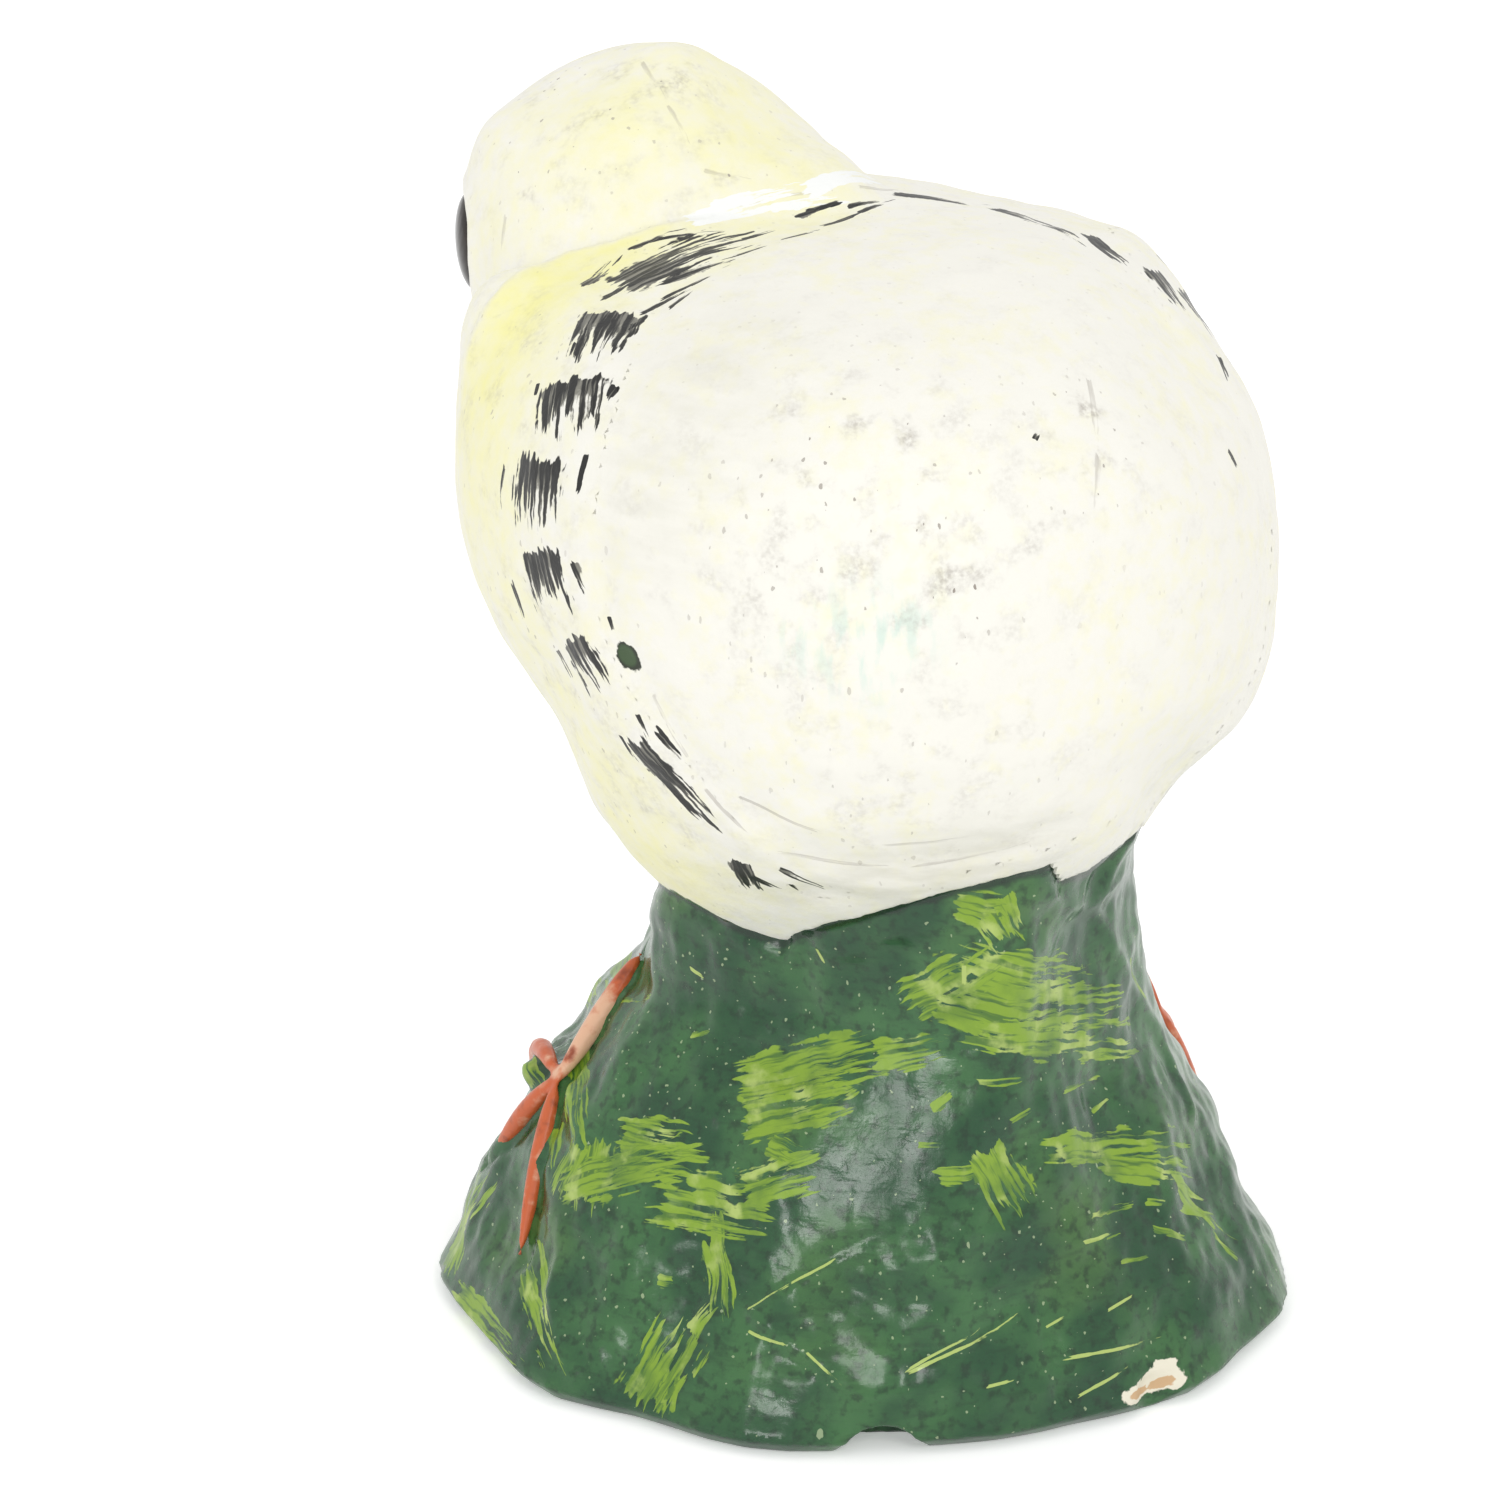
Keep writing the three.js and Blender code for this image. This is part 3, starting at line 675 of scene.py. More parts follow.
# %% Feet, eyes and beak
FOOT_VOXEL = 0.22 * MM
FOOT_SWELL = 0.02 * MM
TOE_SLIMMING = 0.18 * MM
LEG_SLIMMING = 0.28 * MM
LEG_LEVELS = (19 * MM, 25 * MM)
FOOT_IRONING = 12
EYE_STRETCH = 0.9 * MM
ROUNDING_LEVELS = 2

feet = {}
for name in FOOT_NODES:
    feet[name] = even_skin(name.replace("foot", "toes"), [name], FOOT_SWELL, FOOT_VOXEL)
    iron(feet[name], FOOT_IRONING)
    leg = smoothstep(*LEG_LEVELS, points_of(feet[name])[:, 2])
    press(feet[name], -TOE_SLIMMING - (LEG_SLIMMING - TOE_SLIMMING) * leg)

small = {}
for name in (*EYE_NODES, "beak"):
    small[name] = add_piece(name + "_gloss", merged_copy(name))
    rounding = small[name].modifiers.new("rounding", "SUBSURF")
    rounding.levels = rounding.render_levels = ROUNDING_LEVELS
    bake_modifiers(small[name])
    if name in EYE_NODES:
        spots = points_of(small[name])
        rise = (spots[:, 2] - spots[:, 2].min()) / np.ptp(spots[:, 2])
        spots[:, 2] += EYE_STRETCH * rise
        set_points(small[name], spots)
    print(small[name].name, len(small[name].data.polygons), "faces")

# %% [markdown]
# Nothing on the figurine moves, so every piece rides on its one body. Each piece stands for its packed
# casting.

# %% Ride on the one body, stand for the castings
for piece, casting, slot in (
    (body, "body", "ivory_paint"),
    (head, "head", "cream_paint"),
    (pads["left_wing"], "left_wing", "ivory_paint"),
    (pads["right_wing"], "right_wing", "ivory_paint"),
    (pads["tail"], "tail", "ivory_paint"),
    (mound, "mound", "moss_green_gloss"),
    (feet["left_foot"], "left_foot", "orange_paint"),
    (feet["right_foot"], "right_foot", "orange_paint"),
    (small["left_eye"], "left_eye", "black_gloss"),
    (small["right_eye"], "right_eye", "black_gloss"),
    (small["beak"], "beak", "orange_paint"),
):
    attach(piece, "root")
    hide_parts(casting)

# %% [markdown]
# Paint strokes. The painter worked with a half-dry brush: a stroke starts in a hard edge and breaks
# up into hairs. A stroke is stored on the skin as two vectors per vertex: how far along and across
# the stroke the vertex lies, and the stroke's own half length and half width. The materials work the
# hairs out of that, so a stroke can be finer than the faces that carry it.

# %% Strokes on a skin
Stroke = namedtuple("Stroke", "middle along across out half_length half_width")


def stroke_between(start, end, normal, width):
    """A stroke from one spot of a skin to another, with its width in mm."""
    along = (end - start).normalized()
    out = (normal - along * normal.dot(along)).normalized()
    return Stroke((start + end) / 2, along, out.cross(along), out, (end - start).length / 2 / MM, width / 2)


def picked(tree, table):
    """The strokes of a table of start pixel, end pixel and width in mm."""
    strokes = []
    for x0, y0, x1, y1, width in table:
        start, end = land(tree, (x0, y0)), land(tree, (x1, y1))
        middle = land(tree, ((x0 + x1) / 2, (y0 + y1) / 2))
        if start and middle and end:
            strokes.append(stroke_between(start[0], end[0], middle[1], width))
    return strokes


# %% [markdown]
# Two strokes of one layer must not meet, because a vertex remembers only one of them. So the strokes
# are dealt out over a few layers, each stroke into the first layer that has room for it.

# %% Deal strokes into layers
STROKE_CLEARANCE = 1.8


def deal(strokes):
    """Lists of strokes that keep clear of each other."""
    layers = []
    for stroke in strokes:
        for layer in layers:
            if all(min(outside(stroke, other), outside(other, stroke)) > STROKE_CLEARANCE for other in layer):
                layer.append(stroke)
                break
        else:
            layers.append([stroke])
    return layers


def outside(stroke, other):
    """About how far in mm one stroke stays clear of the other."""
    clear = math.inf
    for share in (-1, -0.5, 0, 0.5, 1):
        for side in (-1, 0, 1):
            spot = stroke.middle + stroke.along * (share * stroke.half_length * MM)
            spot = spot + stroke.across * (side * stroke.half_width * MM)
            gap = (spot - other.middle) / MM
            beyond = abs(gap.dot(other.along)) - other.half_length
            beside = abs(gap.dot(other.across)) - other.half_width
            clear = min(clear, max(beyond, beside))
    return clear


# %% [markdown]
# What a paint needs is written on the vertices, as attributes that a material reads by their names:
# two vectors for a stroke, and one number for a wash or a drop.

# %% Store strokes, spots and drops on a skin
STROKE_MARGIN = 0.6
FACING_LEAST = 0.25
LIFT_LEAST = 1.5
LIFT_SHARE = 0.6


def lay_strokes(piece, layer, strokes):
    """Writes the strokes of one layer on a piece as the attributes layer_place and layer_kind."""
    spots = points_of(piece) / MM
    normals = normals_of(piece)
    place = np.zeros((len(spots), 3))
    kind = np.ones((len(spots), 3))
    depth = np.full(len(spots), -np.inf)
    for seed, stroke in enumerate(strokes, start=1):
        gap = spots - np.array(stroke.middle) / MM
        far = gap @ np.array(stroke.along)
        wide = gap @ np.array(stroke.across)
        lift = abs(gap @ np.array(stroke.out))
        inside = np.minimum(stroke.half_length - abs(far), stroke.half_width - abs(wide))
        near = lift < LIFT_LEAST + LIFT_SHARE * stroke.half_length
        fits = (normals @ np.array(stroke.out) > FACING_LEAST) & near
        mine = inside > depth
        depth[mine] = inside[mine]
        reach = fits & (inside > -STROKE_MARGIN)
        place[mine] = np.stack([far, wide, reach], 1)[mine]
        kind[mine] = (stroke.half_length, stroke.half_width, seed)
    for suffix, rows in (("_place", place), ("_kind", kind)):
        store = piece.data.attributes.new(layer + suffix, "FLOAT_VECTOR", "POINT")
        store.data.foreach_set("vector", rows.astype(np.float32).ravel())


def lay_layers(piece, kinds):
    """Writes all the layers of each kind of stroke on a piece."""
    for kind, layers in kinds.items():
        for number, strokes in enumerate(layers):
            lay_strokes(piece, f"{kind}{number}", strokes)


def lay_field(piece, name, values):
    """Writes one number per vertex."""
    store = piece.data.attributes.new(name, "FLOAT", "POINT")
    store.data.foreach_set("value", np.asarray(values, np.float32))


def lay_spots(piece, name, tree, table, base=0, top=1):
    """Writes the sum of soft round spots on a base, up to a top."""
    lay_field(piece, name, np.clip(base + soft_spots(points_of(piece), tree, table), 0, top))


def lay_drops(piece, name, drops):
    """Writes how deep each vertex lies in a drop's oval: 1 in the middle, below 0 outside."""
    spots = points_of(piece) / MM
    depth = np.full(len(spots), -1.0)
    for drop in drops:
        gap = spots - np.array(drop.middle) / MM
        far = gap @ np.array(drop.along) / drop.half_length
        wide = gap @ np.array(drop.across) / drop.half_width
        lift = gap @ np.array(drop.out) / drop.half_length
        depth = np.maximum(depth, 1 - np.sqrt(far**2 + wide**2 + lift**2))
    lay_field(piece, name, depth)


# %% [markdown]
# The bars down the edge of the wing are the owl's boldest markings. Each is a wide stroke with a few
# stray hairs beside it, following the band round the disc. The other wing is out of sight, so its
# bars are the same ones mirrored, a little further forward; one that would show is left out.

# %% Bars, stains and spots of the bird
# start x, start y, end x, end y in photograph pixels, then the width in mm
SHOULDER_STREAKS = (
    (614, 289, 752, 235, 4.2), (581, 287, 618, 255, 1.0), (625, 251, 697, 227, 0.6),
    (658, 284, 764, 248, 1.0), (638, 315, 712, 277, 0.5), (668, 309, 700, 286, 0.5),
    (600, 300, 650, 268, 0.5), (645, 243, 738, 231, 0.4), (660, 300, 735, 264, 0.4),
    (740, 240, 790, 226, 0.4),
)
WING_BARS = (
    (612, 311, 588, 362, 4.8), (634, 321, 622, 334, 0.8), (576, 342, 570, 360, 0.5),
    (574, 377, 565, 436, 5.8), (616, 386, 606, 402, 0.8), (538, 384, 534, 400, 0.4),
    (540, 455, 536, 540, 5.4), (586, 456, 574, 508, 0.5), (505, 464, 503, 520, 0.4),
    (537, 549, 556, 616, 4.4), (511, 580, 530, 634, 0.5), (573, 560, 590, 596, 0.8),
    (571, 637, 600, 690, 3.4), (556, 648, 572, 678, 0.5), (633, 738, 722, 834, 2.2),
    (636, 712, 652, 748, 0.4), (655, 728, 692, 768, 0.6), (620, 735, 640, 765, 0.3),
    (738, 861, 756, 895, 2.0), (750, 876, 784, 890, 0.6), (776, 867, 824, 888, 0.5),
    (790, 884, 803, 893, 0.3),
)
TOP_BARS = (
    (893, 193, 992, 206, 0.9), (988, 207, 1078, 239, 1.1), (1040, 224, 1085, 246, 0.4),
    (1086, 234, 1130, 270, 1.6), (1150, 268, 1184, 312, 2.2), (1218, 355, 1230, 384, 0.6),
    (1228, 450, 1238, 470, 0.4), (795, 218, 830, 206, 0.6), (845, 208, 885, 200, 0.5),
    (780, 240, 828, 228, 0.3), (609, 616, 615, 634, 0.4), (1034, 440, 1040, 430, 0.4),
    (806, 212, 850, 199, 0.5), (822, 226, 866, 211, 0.4), (856, 214, 904, 198, 0.5),
)
STAINS = (
    (640, 60, 667, 104, 0.4), (667, 104, 692, 152, 0.4), (506, 214, 500, 260, 0.4),
    (720, 208, 790, 196, 0.3), (780, 196, 850, 190, 0.3), (700, 170, 760, 182, 0.4),
    (690, 216, 740, 208, 0.3), (858, 187, 905, 190, 0.3), (706, 790, 764, 848, 0.3),
    (775, 852, 900, 866, 0.3), (908, 866, 1040, 838, 0.3), (742, 798, 850, 840, 0.25),
    (880, 846, 1000, 830, 0.25), (650, 690, 690, 760, 0.3), (1088, 376, 1097, 440, 0.45),
    (1098, 452, 1093, 524, 0.5),
)
SPLASHES = ((618, 642, 637, 669, 1.9),)
# Chalk-white strokes along the nape: partly white paint, partly a painted highlight where the head meets the
# body.
NAPE_WHITE_AND_HIGHLIGHT = (
    (682, 222, 792, 196, 1.5), (704, 208, 800, 188, 1.0), (800, 195, 880, 182, 1.5),
    (764, 210, 850, 198, 0.9),
)
MIRROR_TURN = Matrix.Rotation(math.radians(14), 3, "Z")
SHOW_REACH = 2.5 * MM


def mirrored(stroke):
    """The same stroke on the other wing, a little further forward."""
    flips = [MIRROR_TURN @ Vector((-axis.x, axis.y, axis.z)) for axis in stroke[:4]]
    return Stroke(*flips, stroke.half_length, stroke.half_width)


def shows(stroke):
    """Whether the camera sees the middle of a stroke on the bird."""
    across, down = picture_place(np.array([stroke.middle]))
    hit = land(bird_tree, (across[0], down[0]))
    return bool(hit) and (hit[0] - stroke.middle).length < SHOW_REACH


# %% [markdown]
# The face is out of sight too. An owl's eye sits in a disc of thin feathers that stand round it like
# rays, so soft grey strokes are laid round each eye, and those that the camera would see are left out.

# %% Rays round the eyes
RAYS = 22
RAY_START = 0.5 * MM
RAY_LENGTH = (1.4, 2.6)
RAY_WIDTH = 0.4
RAY_SEEDS = {"left_eye": 11, "right_eye": 12}


def eye_rays(eye, seed):
    """Soft strokes that stand round an eye like rays."""
    draw = np.random.default_rng(seed)
    corners = [corner.co for corner in nodes[eye].data.vertices]
    middle = sum(corners, Vector()) / len(corners)
    spot, out, face, reach = head_tree.find_nearest(middle)
    level = out.cross(Vector((0, 0, 1))).normalized()
    strokes = []
    for number in range(RAYS):
        angle = 2 * math.pi * number / RAYS
        length = draw.uniform(*RAY_LENGTH) * MM
        way = level * math.cos(angle) + level.cross(out) * math.sin(angle)
        edge = max(way.dot(corner - middle) for corner in corners) + RAY_START
        start, normal, face, reach = head_tree.find_nearest(middle + way * edge)
        end = head_tree.find_nearest(middle + way * (edge + length))[0]
        strokes.append(stroke_between(start, end, normal, RAY_WIDTH))
    return [stroke for stroke in strokes if not shows(stroke)]


# %% [markdown]
# All pieces of the bird get the same strokes, because a stroke can cross a joint. Each piece shows
# the part that lies on its own skin.

# %% Lay the strokes of the bird
head_tree = tree_of(head)
wing_bars = picked(bird_tree, WING_BARS)
far_bars = [bar for bar in map(mirrored, wing_bars) if not shows(bar)]
rays = [ray for eye, seed in RAY_SEEDS.items() for ray in eye_rays(eye, seed)]
shoulder, top = picked(bird_tree, SHOULDER_STREAKS), picked(bird_tree, TOP_BARS)
bird_layers = {
    "bar": deal(shoulder + wing_bars + top + far_bars),
    "stain": deal(picked(bird_tree, STAINS) + rays),
    "white": deal(picked(bird_tree, NAPE_WHITE_AND_HIGHLIGHT)),
}
bird_pieces = [body, head, *pads.values()]
for piece in bird_pieces:
    lay_layers(piece, bird_layers)
    lay_drops(piece, "splash", picked(bird_tree, SPLASHES))
print("layers of the bird:", {kind: len(layers) for kind, layers in bird_layers.items()})
print(len(far_bars), "bars and", len(rays), "rays out of sight")

# %% [markdown]
# A thin straw-coloured wash lies over the head, the shoulders and the flanks, and fades out on the
# disc. It thins out past the fold where the shoulder laps over the head. Grime sits in spots, a grey
# painted shade lies on the lower band, where the disc turns under, and on the upper left of the disc,
# and a pale green smear was left on the disc. Each of them is one number per vertex, gathered from
# soft round spots.

# %% Wash, grime, painted shade and smear of the bird
# x and y in photograph pixels, then the radius in mm and the strength
WASH_SPOTS = (
    (500, 345, 8, 0.48), (560, 278, 6, 0.4), (740, 120, 9, 0.38), (700, 185, 6, 0.28),
    (620, 130, 8, 0.26), (640, 250, 5, 0.3), (478, 450, 8, 0.35), (500, 600, 8, 0.2), (580, 730, 7, 0.3),
    (660, 860, 6, 0.5), (800, 215, 5, 0.2), (520, 180, 7, 0.16),
)
GRIME_SPOTS = (
    (860, 470, 7, 0.9), (1090, 450, 4, 0.8), (930, 610, 6, 0.6), (800, 620, 5, 0.4), (560, 120, 5, 0.5),
    (700, 560, 6, 0.4), (900, 800, 9, 0.4), (528, 183, 1.3, 1.6), (549, 84, 1.0, 1.4),
    (655, 76, 2.2, 1.2), (592, 113, 1.0, 1.2), (888, 425, 2.0, 1.2), (912, 520, 1.6, 1.0),
    (1082, 410, 1.8, 1.2), (1090, 490, 1.5, 1.0), (720, 172, 2.0, 0.9), (790, 430, 1.6, 0.8),
    (960, 590, 2.0, 0.8), (1040, 540, 1.5, 0.8), (500, 470, 7, 0.5), (560, 660, 6, 0.5),
    (505, 340, 5, 0.4), (640, 800, 6, 0.5), (640, 100, 9, 0.35),
)
# Grey painted shade: along the lower band, where the disc turns under, and on the upper left of the disc.
PAINTED_SHADE_SPOTS = (
    (740, 880, 3.5, 0.25), (800, 898, 3.0, 0.3), (860, 886, 3.5, 0.5), (920, 874, 3.5, 0.5),
    (980, 860, 3.5, 0.45), (1040, 842, 3.5, 0.3), (690, 430, 7, 0.22), (720, 340, 7, 0.2),
    (640, 520, 6, 0.2),
)
MINT_SPOTS = ((850, 640, 3.4, 0.6), (905, 625, 2.4, 0.55), (800, 640, 2.2, 0.3), (880, 675, 2.2, 0.3))
BASE_WASH = 0.04
HIDDEN_WASH = 0.2
MIRRORED_WASH = 0.5
HIDDEN_EDGE = (-12 * MM, 6 * MM)
FOLD_SHARE = 0.65
FOLD_SHADE = 7 * MM
FOLD_STOP = (-0.1 * MM, 0.5 * MM)
BASE_GRIME = 0.2
MOST_GRIME = 1.6

for piece in bird_pieces:
    spots = points_of(piece)
    hidden = smoothstep(*HIDDEN_EDGE, spots @ np.array(view_ahead))
    far_side = HIDDEN_WASH + MIRRORED_WASH * soft_spots(spots * (-1, 1, 1), bird_tree, WASH_SPOTS)
    wash = BASE_WASH + soft_spots(spots, bird_tree, WASH_SPOTS) + far_side * hidden
    fold, head_bank = path_distance(spots, bird_tree, SHOULDER_FOLD)
    past_fold = smoothstep(*FOLD_STOP, head_bank) * hump(fold, FOLD_SHADE)
    lay_field(piece, "wash", np.clip(wash * (1 - FOLD_SHARE * past_fold), 0, 1))
    lay_spots(piece, "grime", bird_tree, GRIME_SPOTS, BASE_GRIME, MOST_GRIME)
    # grey painted shade on the lower band and the upper left of the disc
    lay_spots(piece, "painted_shade", bird_tree, PAINTED_SHADE_SPOTS)
    lay_spots(piece, "mint", bird_tree, MINT_SPOTS)
    lay_field(piece, "below_rim", below_rim(spots))
    print(piece.name, "mean wash", round(float(wash.mean()), 2))

# %% [markdown]
# The mound is dark green with lime dragged over the high places by the same dry brush. On the side
# that the photograph doesn't show, strokes of the same sizes are drawn at random, with a fixed seed.

# %% Lime strokes, scratches and chips of the mound
# start x, start y, end x, end y in photograph pixels, then the width in mm
LIME = (
    (593, 1028, 579, 1143, 2.0), (579, 1143, 555, 1199, 2.4), (560, 1190, 700, 1150, 3.2),
    (617, 1128, 690, 1140, 2.2), (648, 1205, 770, 1225, 2.6), (740, 1190, 816, 1165, 3.0),
    (735, 1085, 895, 1050, 3.4), (740, 1120, 850, 1095, 3.2), (716, 1211, 722, 1298, 1.3),
    (640, 1405, 690, 1320, 4.2), (690, 1330, 716, 1300, 1.8), (450, 1250, 492, 1180, 2.4),
    (454, 1290, 520, 1365, 2.2), (525, 1270, 555, 1367, 1.8), (955, 905, 1015, 915, 2.4),
    (985, 915, 1010, 950, 2.2), (905, 1005, 1000, 950, 3.2), (930, 990, 1120, 1000, 4.2),
    (960, 955, 1075, 975, 2.8), (960, 1030, 1130, 1040, 2.8), (870, 1060, 945, 1045, 2.4),
    (985, 1150, 1020, 1215, 3.2), (935, 1175, 1000, 1170, 1.2), (1047, 1150, 1187, 1145, 2.2),
    (1100, 1165, 1195, 1180, 1.8), (1175, 1175, 1235, 1250, 1.4), (583, 1060, 576, 1121, 0.5),
    (658, 1278, 675, 1284, 1.0), (754, 1074, 858, 1088, 1.1), (807, 1121, 858, 1098, 1.4),
    (1078, 1056, 1138, 1052, 0.8), (976, 1082, 1019, 1081, 0.5), (1178, 1182, 1208, 1202, 0.7),
    (1181, 1208, 1218, 1218, 0.6), (1145, 1202, 1168, 1203, 0.5), (1092, 1112, 1115, 1092, 0.4),
    (933, 1109, 959, 1089, 0.9), (916, 1145, 946, 1145, 0.4), (661, 1409, 666, 1346, 0.9),
    (672, 1412, 679, 1366, 0.5), (692, 1376, 709, 1349, 0.5), (540, 1240, 560, 1372, 0.7),
    (620, 1000, 650, 996, 0.5), (690, 1036, 712, 1030, 0.5), (1090, 1216, 1132, 1205, 0.6),
    (1085, 1242, 1120, 1232, 0.5), (1120, 1262, 1152, 1256, 0.4), (1150, 1228, 1190, 1240, 0.5),
    (1010, 1122, 1036, 1106, 0.4), (1060, 1092, 1100, 1076, 0.4), (800, 1075, 870, 1064, 0.8),
    (1130, 960, 1150, 1010, 0.7), (527, 1062, 538, 1090, 1.8), (446, 1275, 480, 1170, 3.0),
    (560, 1125, 552, 1165, 1.6), (600, 1140, 584, 1212, 2.6), (612, 1158, 705, 1166, 2.2),
    (690, 1182, 765, 1198, 2.2), (712, 1240, 720, 1325, 2.0), (664, 1330, 640, 1418, 3.0),
    (765, 1145, 800, 1160, 1.6), (1000, 895, 1022, 940, 1.6),
)
SCRATCHES = (
    (906, 1374, 1027, 1308, 0.25), (1062, 1359, 1171, 1336, 0.25), (986, 1387, 1022, 1377, 0.25),
    (1107, 1311, 1135, 1294, 0.2), (1045, 1328, 1068, 1314, 0.2), (1077, 1397, 1135, 1361, 0.25),
    (904, 1372, 997, 1316, 0.2), (964, 966, 964, 993, 0.3), (816, 948, 826, 966, 0.3),
    (690, 968, 705, 978, 0.3), (745, 1312, 790, 1284, 0.2), (790, 1284, 841, 1256, 0.2),
    (750, 1332, 804, 1350, 0.2), (804, 1350, 846, 1389, 0.2),
)
CHIPS = ((1122, 1400, 1150, 1384, 1.5), (1138, 1386, 1188, 1374, 2.2), (1150, 1372, 1180, 1364, 1.6))
CHIP_CORES = ((1128, 1398, 1146, 1388, 0.7), (1146, 1386, 1178, 1378, 1.0), (887, 972, 893, 973, 0.35))
# x and y in photograph pixels, then the radius in mm and the strength
DUST_SPOTS = (
    (700, 1000, 7, 1.0), (760, 1060, 6, 0.8), (640, 1060, 5, 0.6), (900, 970, 5, 0.5),
    (1050, 1250, 8, 0.6), (850, 1330, 6, 0.6), (1120, 1080, 6, 0.5), (640, 1300, 6, 0.4),
)
# Pale spots on the leg: partly worn thin paint, partly a painted highlight.
LEG_WEAR_AND_HIGHLIGHT_SPOTS = (
    (592, 1025, 1.8, 1.0), (575, 1052, 1.8, 1.0), (562, 1080, 1.4, 0.7), (608, 995, 1.4, 0.4),
)

# %% Strokes out of sight, and all the mound's strokes laid
HIDDEN_STROKES = 46
HIDDEN_SEED = 7
# bearings in degrees, then heights, lengths and widths in mm, and the spread of the tilt in radians
HIDDEN_BEARINGS = (168, 335)
HIDDEN_HEIGHTS = (3, 33)
HIDDEN_LENGTHS = (2.5, 8)
HIDDEN_WIDTHS = (0.5, 2.4)
HIDDEN_TILT = 0.35
OUTSIDE = 100 * MM
BASE_DUST = 0.25


def hidden_strokes(seed):
    """Dry strokes on the side of the mound that faces away from the camera."""
    draw = np.random.default_rng(seed)
    strokes = []
    for _ in range(HIDDEN_STROKES):
        bearing = math.radians(draw.uniform(*HIDDEN_BEARINGS))
        height, length = draw.uniform(*HIDDEN_HEIGHTS) * MM, draw.uniform(*HIDDEN_LENGTHS) * MM
        tilt, width = draw.normal(0, HIDDEN_TILT), draw.uniform(*HIDDEN_WIDTHS)
        inward = Vector((-math.cos(bearing), -math.sin(bearing), 0))
        spot, normal, face, reach = mound_tree.ray_cast(Vector((0, 0, height)) - inward * OUTSIDE, inward)
        level = Vector((0, 0, 1)).cross(normal).normalized()
        way = level * math.cos(tilt) + normal.cross(level) * math.sin(tilt)
        strokes.append(stroke_between(spot - way * length / 2, spot + way * length / 2, normal, width))
    return strokes


mound_layers = {
    "lime": deal(picked(mound_tree, LIME) + hidden_strokes(HIDDEN_SEED)),
    "scratch": deal(picked(mound_tree, SCRATCHES)),
}
lay_layers(mound, mound_layers)
lay_drops(mound, "chip", picked(mound_tree, CHIPS))
lay_drops(mound, "core", picked(mound_tree, CHIP_CORES))
lay_field(mound, "below_rim", below_rim(points_of(mound)))
lay_spots(mound, "dust", mound_tree, DUST_SPOTS, BASE_DUST)
leg_tree = tree_of(feet["left_foot"])
orange_pieces = (*feet.values(), small["beak"])
for piece in orange_pieces:
    # pale spots on the leg, partly worn thin paint and partly a painted highlight
    lay_spots(piece, "pale_wear_and_highlight", leg_tree, LEG_WEAR_AND_HIGHLIGHT_SPOTS)
print("layers of the mound:", {kind: len(layers) for kind, layers in mound_layers.items()})

# %% [markdown]
# A paint is a small sum over the surface. Blender keeps it as nodes and links, which are long to write
# out. So what a node puts out is wrapped as a value here: adding or multiplying values adds the Math
# node for it, and a material reads from top to bottom like a recipe.

# %% Shader helpers
class Value:
    """What a shader node puts out; sums and products of it are Math nodes."""

    def __init__(self, socket):
        self.socket = socket
        self.tree = socket.id_data

    def __add__(self, other):
        return calc("ADD", self, other)

    def __sub__(self, other):
        return calc("SUBTRACT", self, other)

    def __rsub__(self, other):
        return calc("SUBTRACT", other, self)

    def __mul__(self, other):
        return calc("MULTIPLY", self, other)

    def __truediv__(self, other):
        return calc("DIVIDE", self, other)

    def __abs__(self):
        return calc("ABSOLUTE", self)


def set_inputs(node, inputs):
    """Links values to a node's inputs, and writes numbers and colours on them."""
    for socket, given in dict(inputs).items():
        if isinstance(given, Value):
            given.tree.links.new(given.socket, node.inputs[socket])
        else:
            node.inputs[socket].default_value = given


def put(tree, kind, inputs=(), **settings):
    """Adds a shader node and sets its properties and inputs."""
    made = tree.nodes.new(kind)
    for key, setting in settings.items():
        setattr(made, key, setting)
    set_inputs(made, inputs)
    return made


def output(node, socket=0):
    return Value(node.outputs[socket])


def calc(operation, *terms):
    """A Math node over values and numbers."""
    tree = next(term.tree for term in terms if isinstance(term, Value))
    return output(put(tree, "ShaderNodeMath", enumerate(terms), operation=operation))


# %% [markdown]
# Most of a paint is made of a few patterns: smooth steps, mixed colours and noise. Noise in Object
# coordinates sticks to the casting, from whichever side it is seen.

# %% Shader patterns
def scaled(vector, factors, start=(0, 0, 0)):
    """A vector times factors along x, y and z, added to a start."""
    inputs = {0: vector, 1: factors, 2: start}
    return output(put(vector.tree, "ShaderNodeVectorMath", inputs, operation="MULTIPLY_ADD"))


def ramp(value, low, high):
    """0 below low, 1 above high, smooth between."""
    inputs = {0: value, 1: low, 2: high}
    return output(put(value.tree, "ShaderNodeMapRange", inputs, interpolation_type="SMOOTHSTEP"))


def blend(share, under, over):
    """The under colour where the share is 0, the over colour where it is 1."""
    return output(put(share.tree, "ShaderNodeMix", {0: share, 6: under, 7: over}, data_type="RGBA"), 2)


def noise(where, scale, detail):
    return output(put(where.tree, "ShaderNodeTexNoise", {"Vector": where, "Scale": scale, "Detail": detail}))


def swings(where, scale, detail):
    """Noise that goes from about -0.5 to 0.5."""
    return noise(where, scale, detail) - 0.5


def patches(where, scale, detail, low, high):
    """Soft patches of noise: 0 between them and 1 inside."""
    return ramp(noise(where, scale, detail), low, high)


def attribute(tree, name, socket="Fac"):
    return output(put(tree, "ShaderNodeAttribute", attribute_name=name), socket)


def object_place(tree):
    return output(put(tree, "ShaderNodeTexCoord"), "Object")


def axes(vector):
    """The x, y and z of a vector."""
    return [Value(socket) for socket in put(vector.tree, "ShaderNodeSeparateXYZ", {0: vector}).outputs]


# %% [markdown]
# An effect that several paints share is a node group with named sockets, made once. A paint is a
# material with one Principled shader. Colours are written as they show on screen.

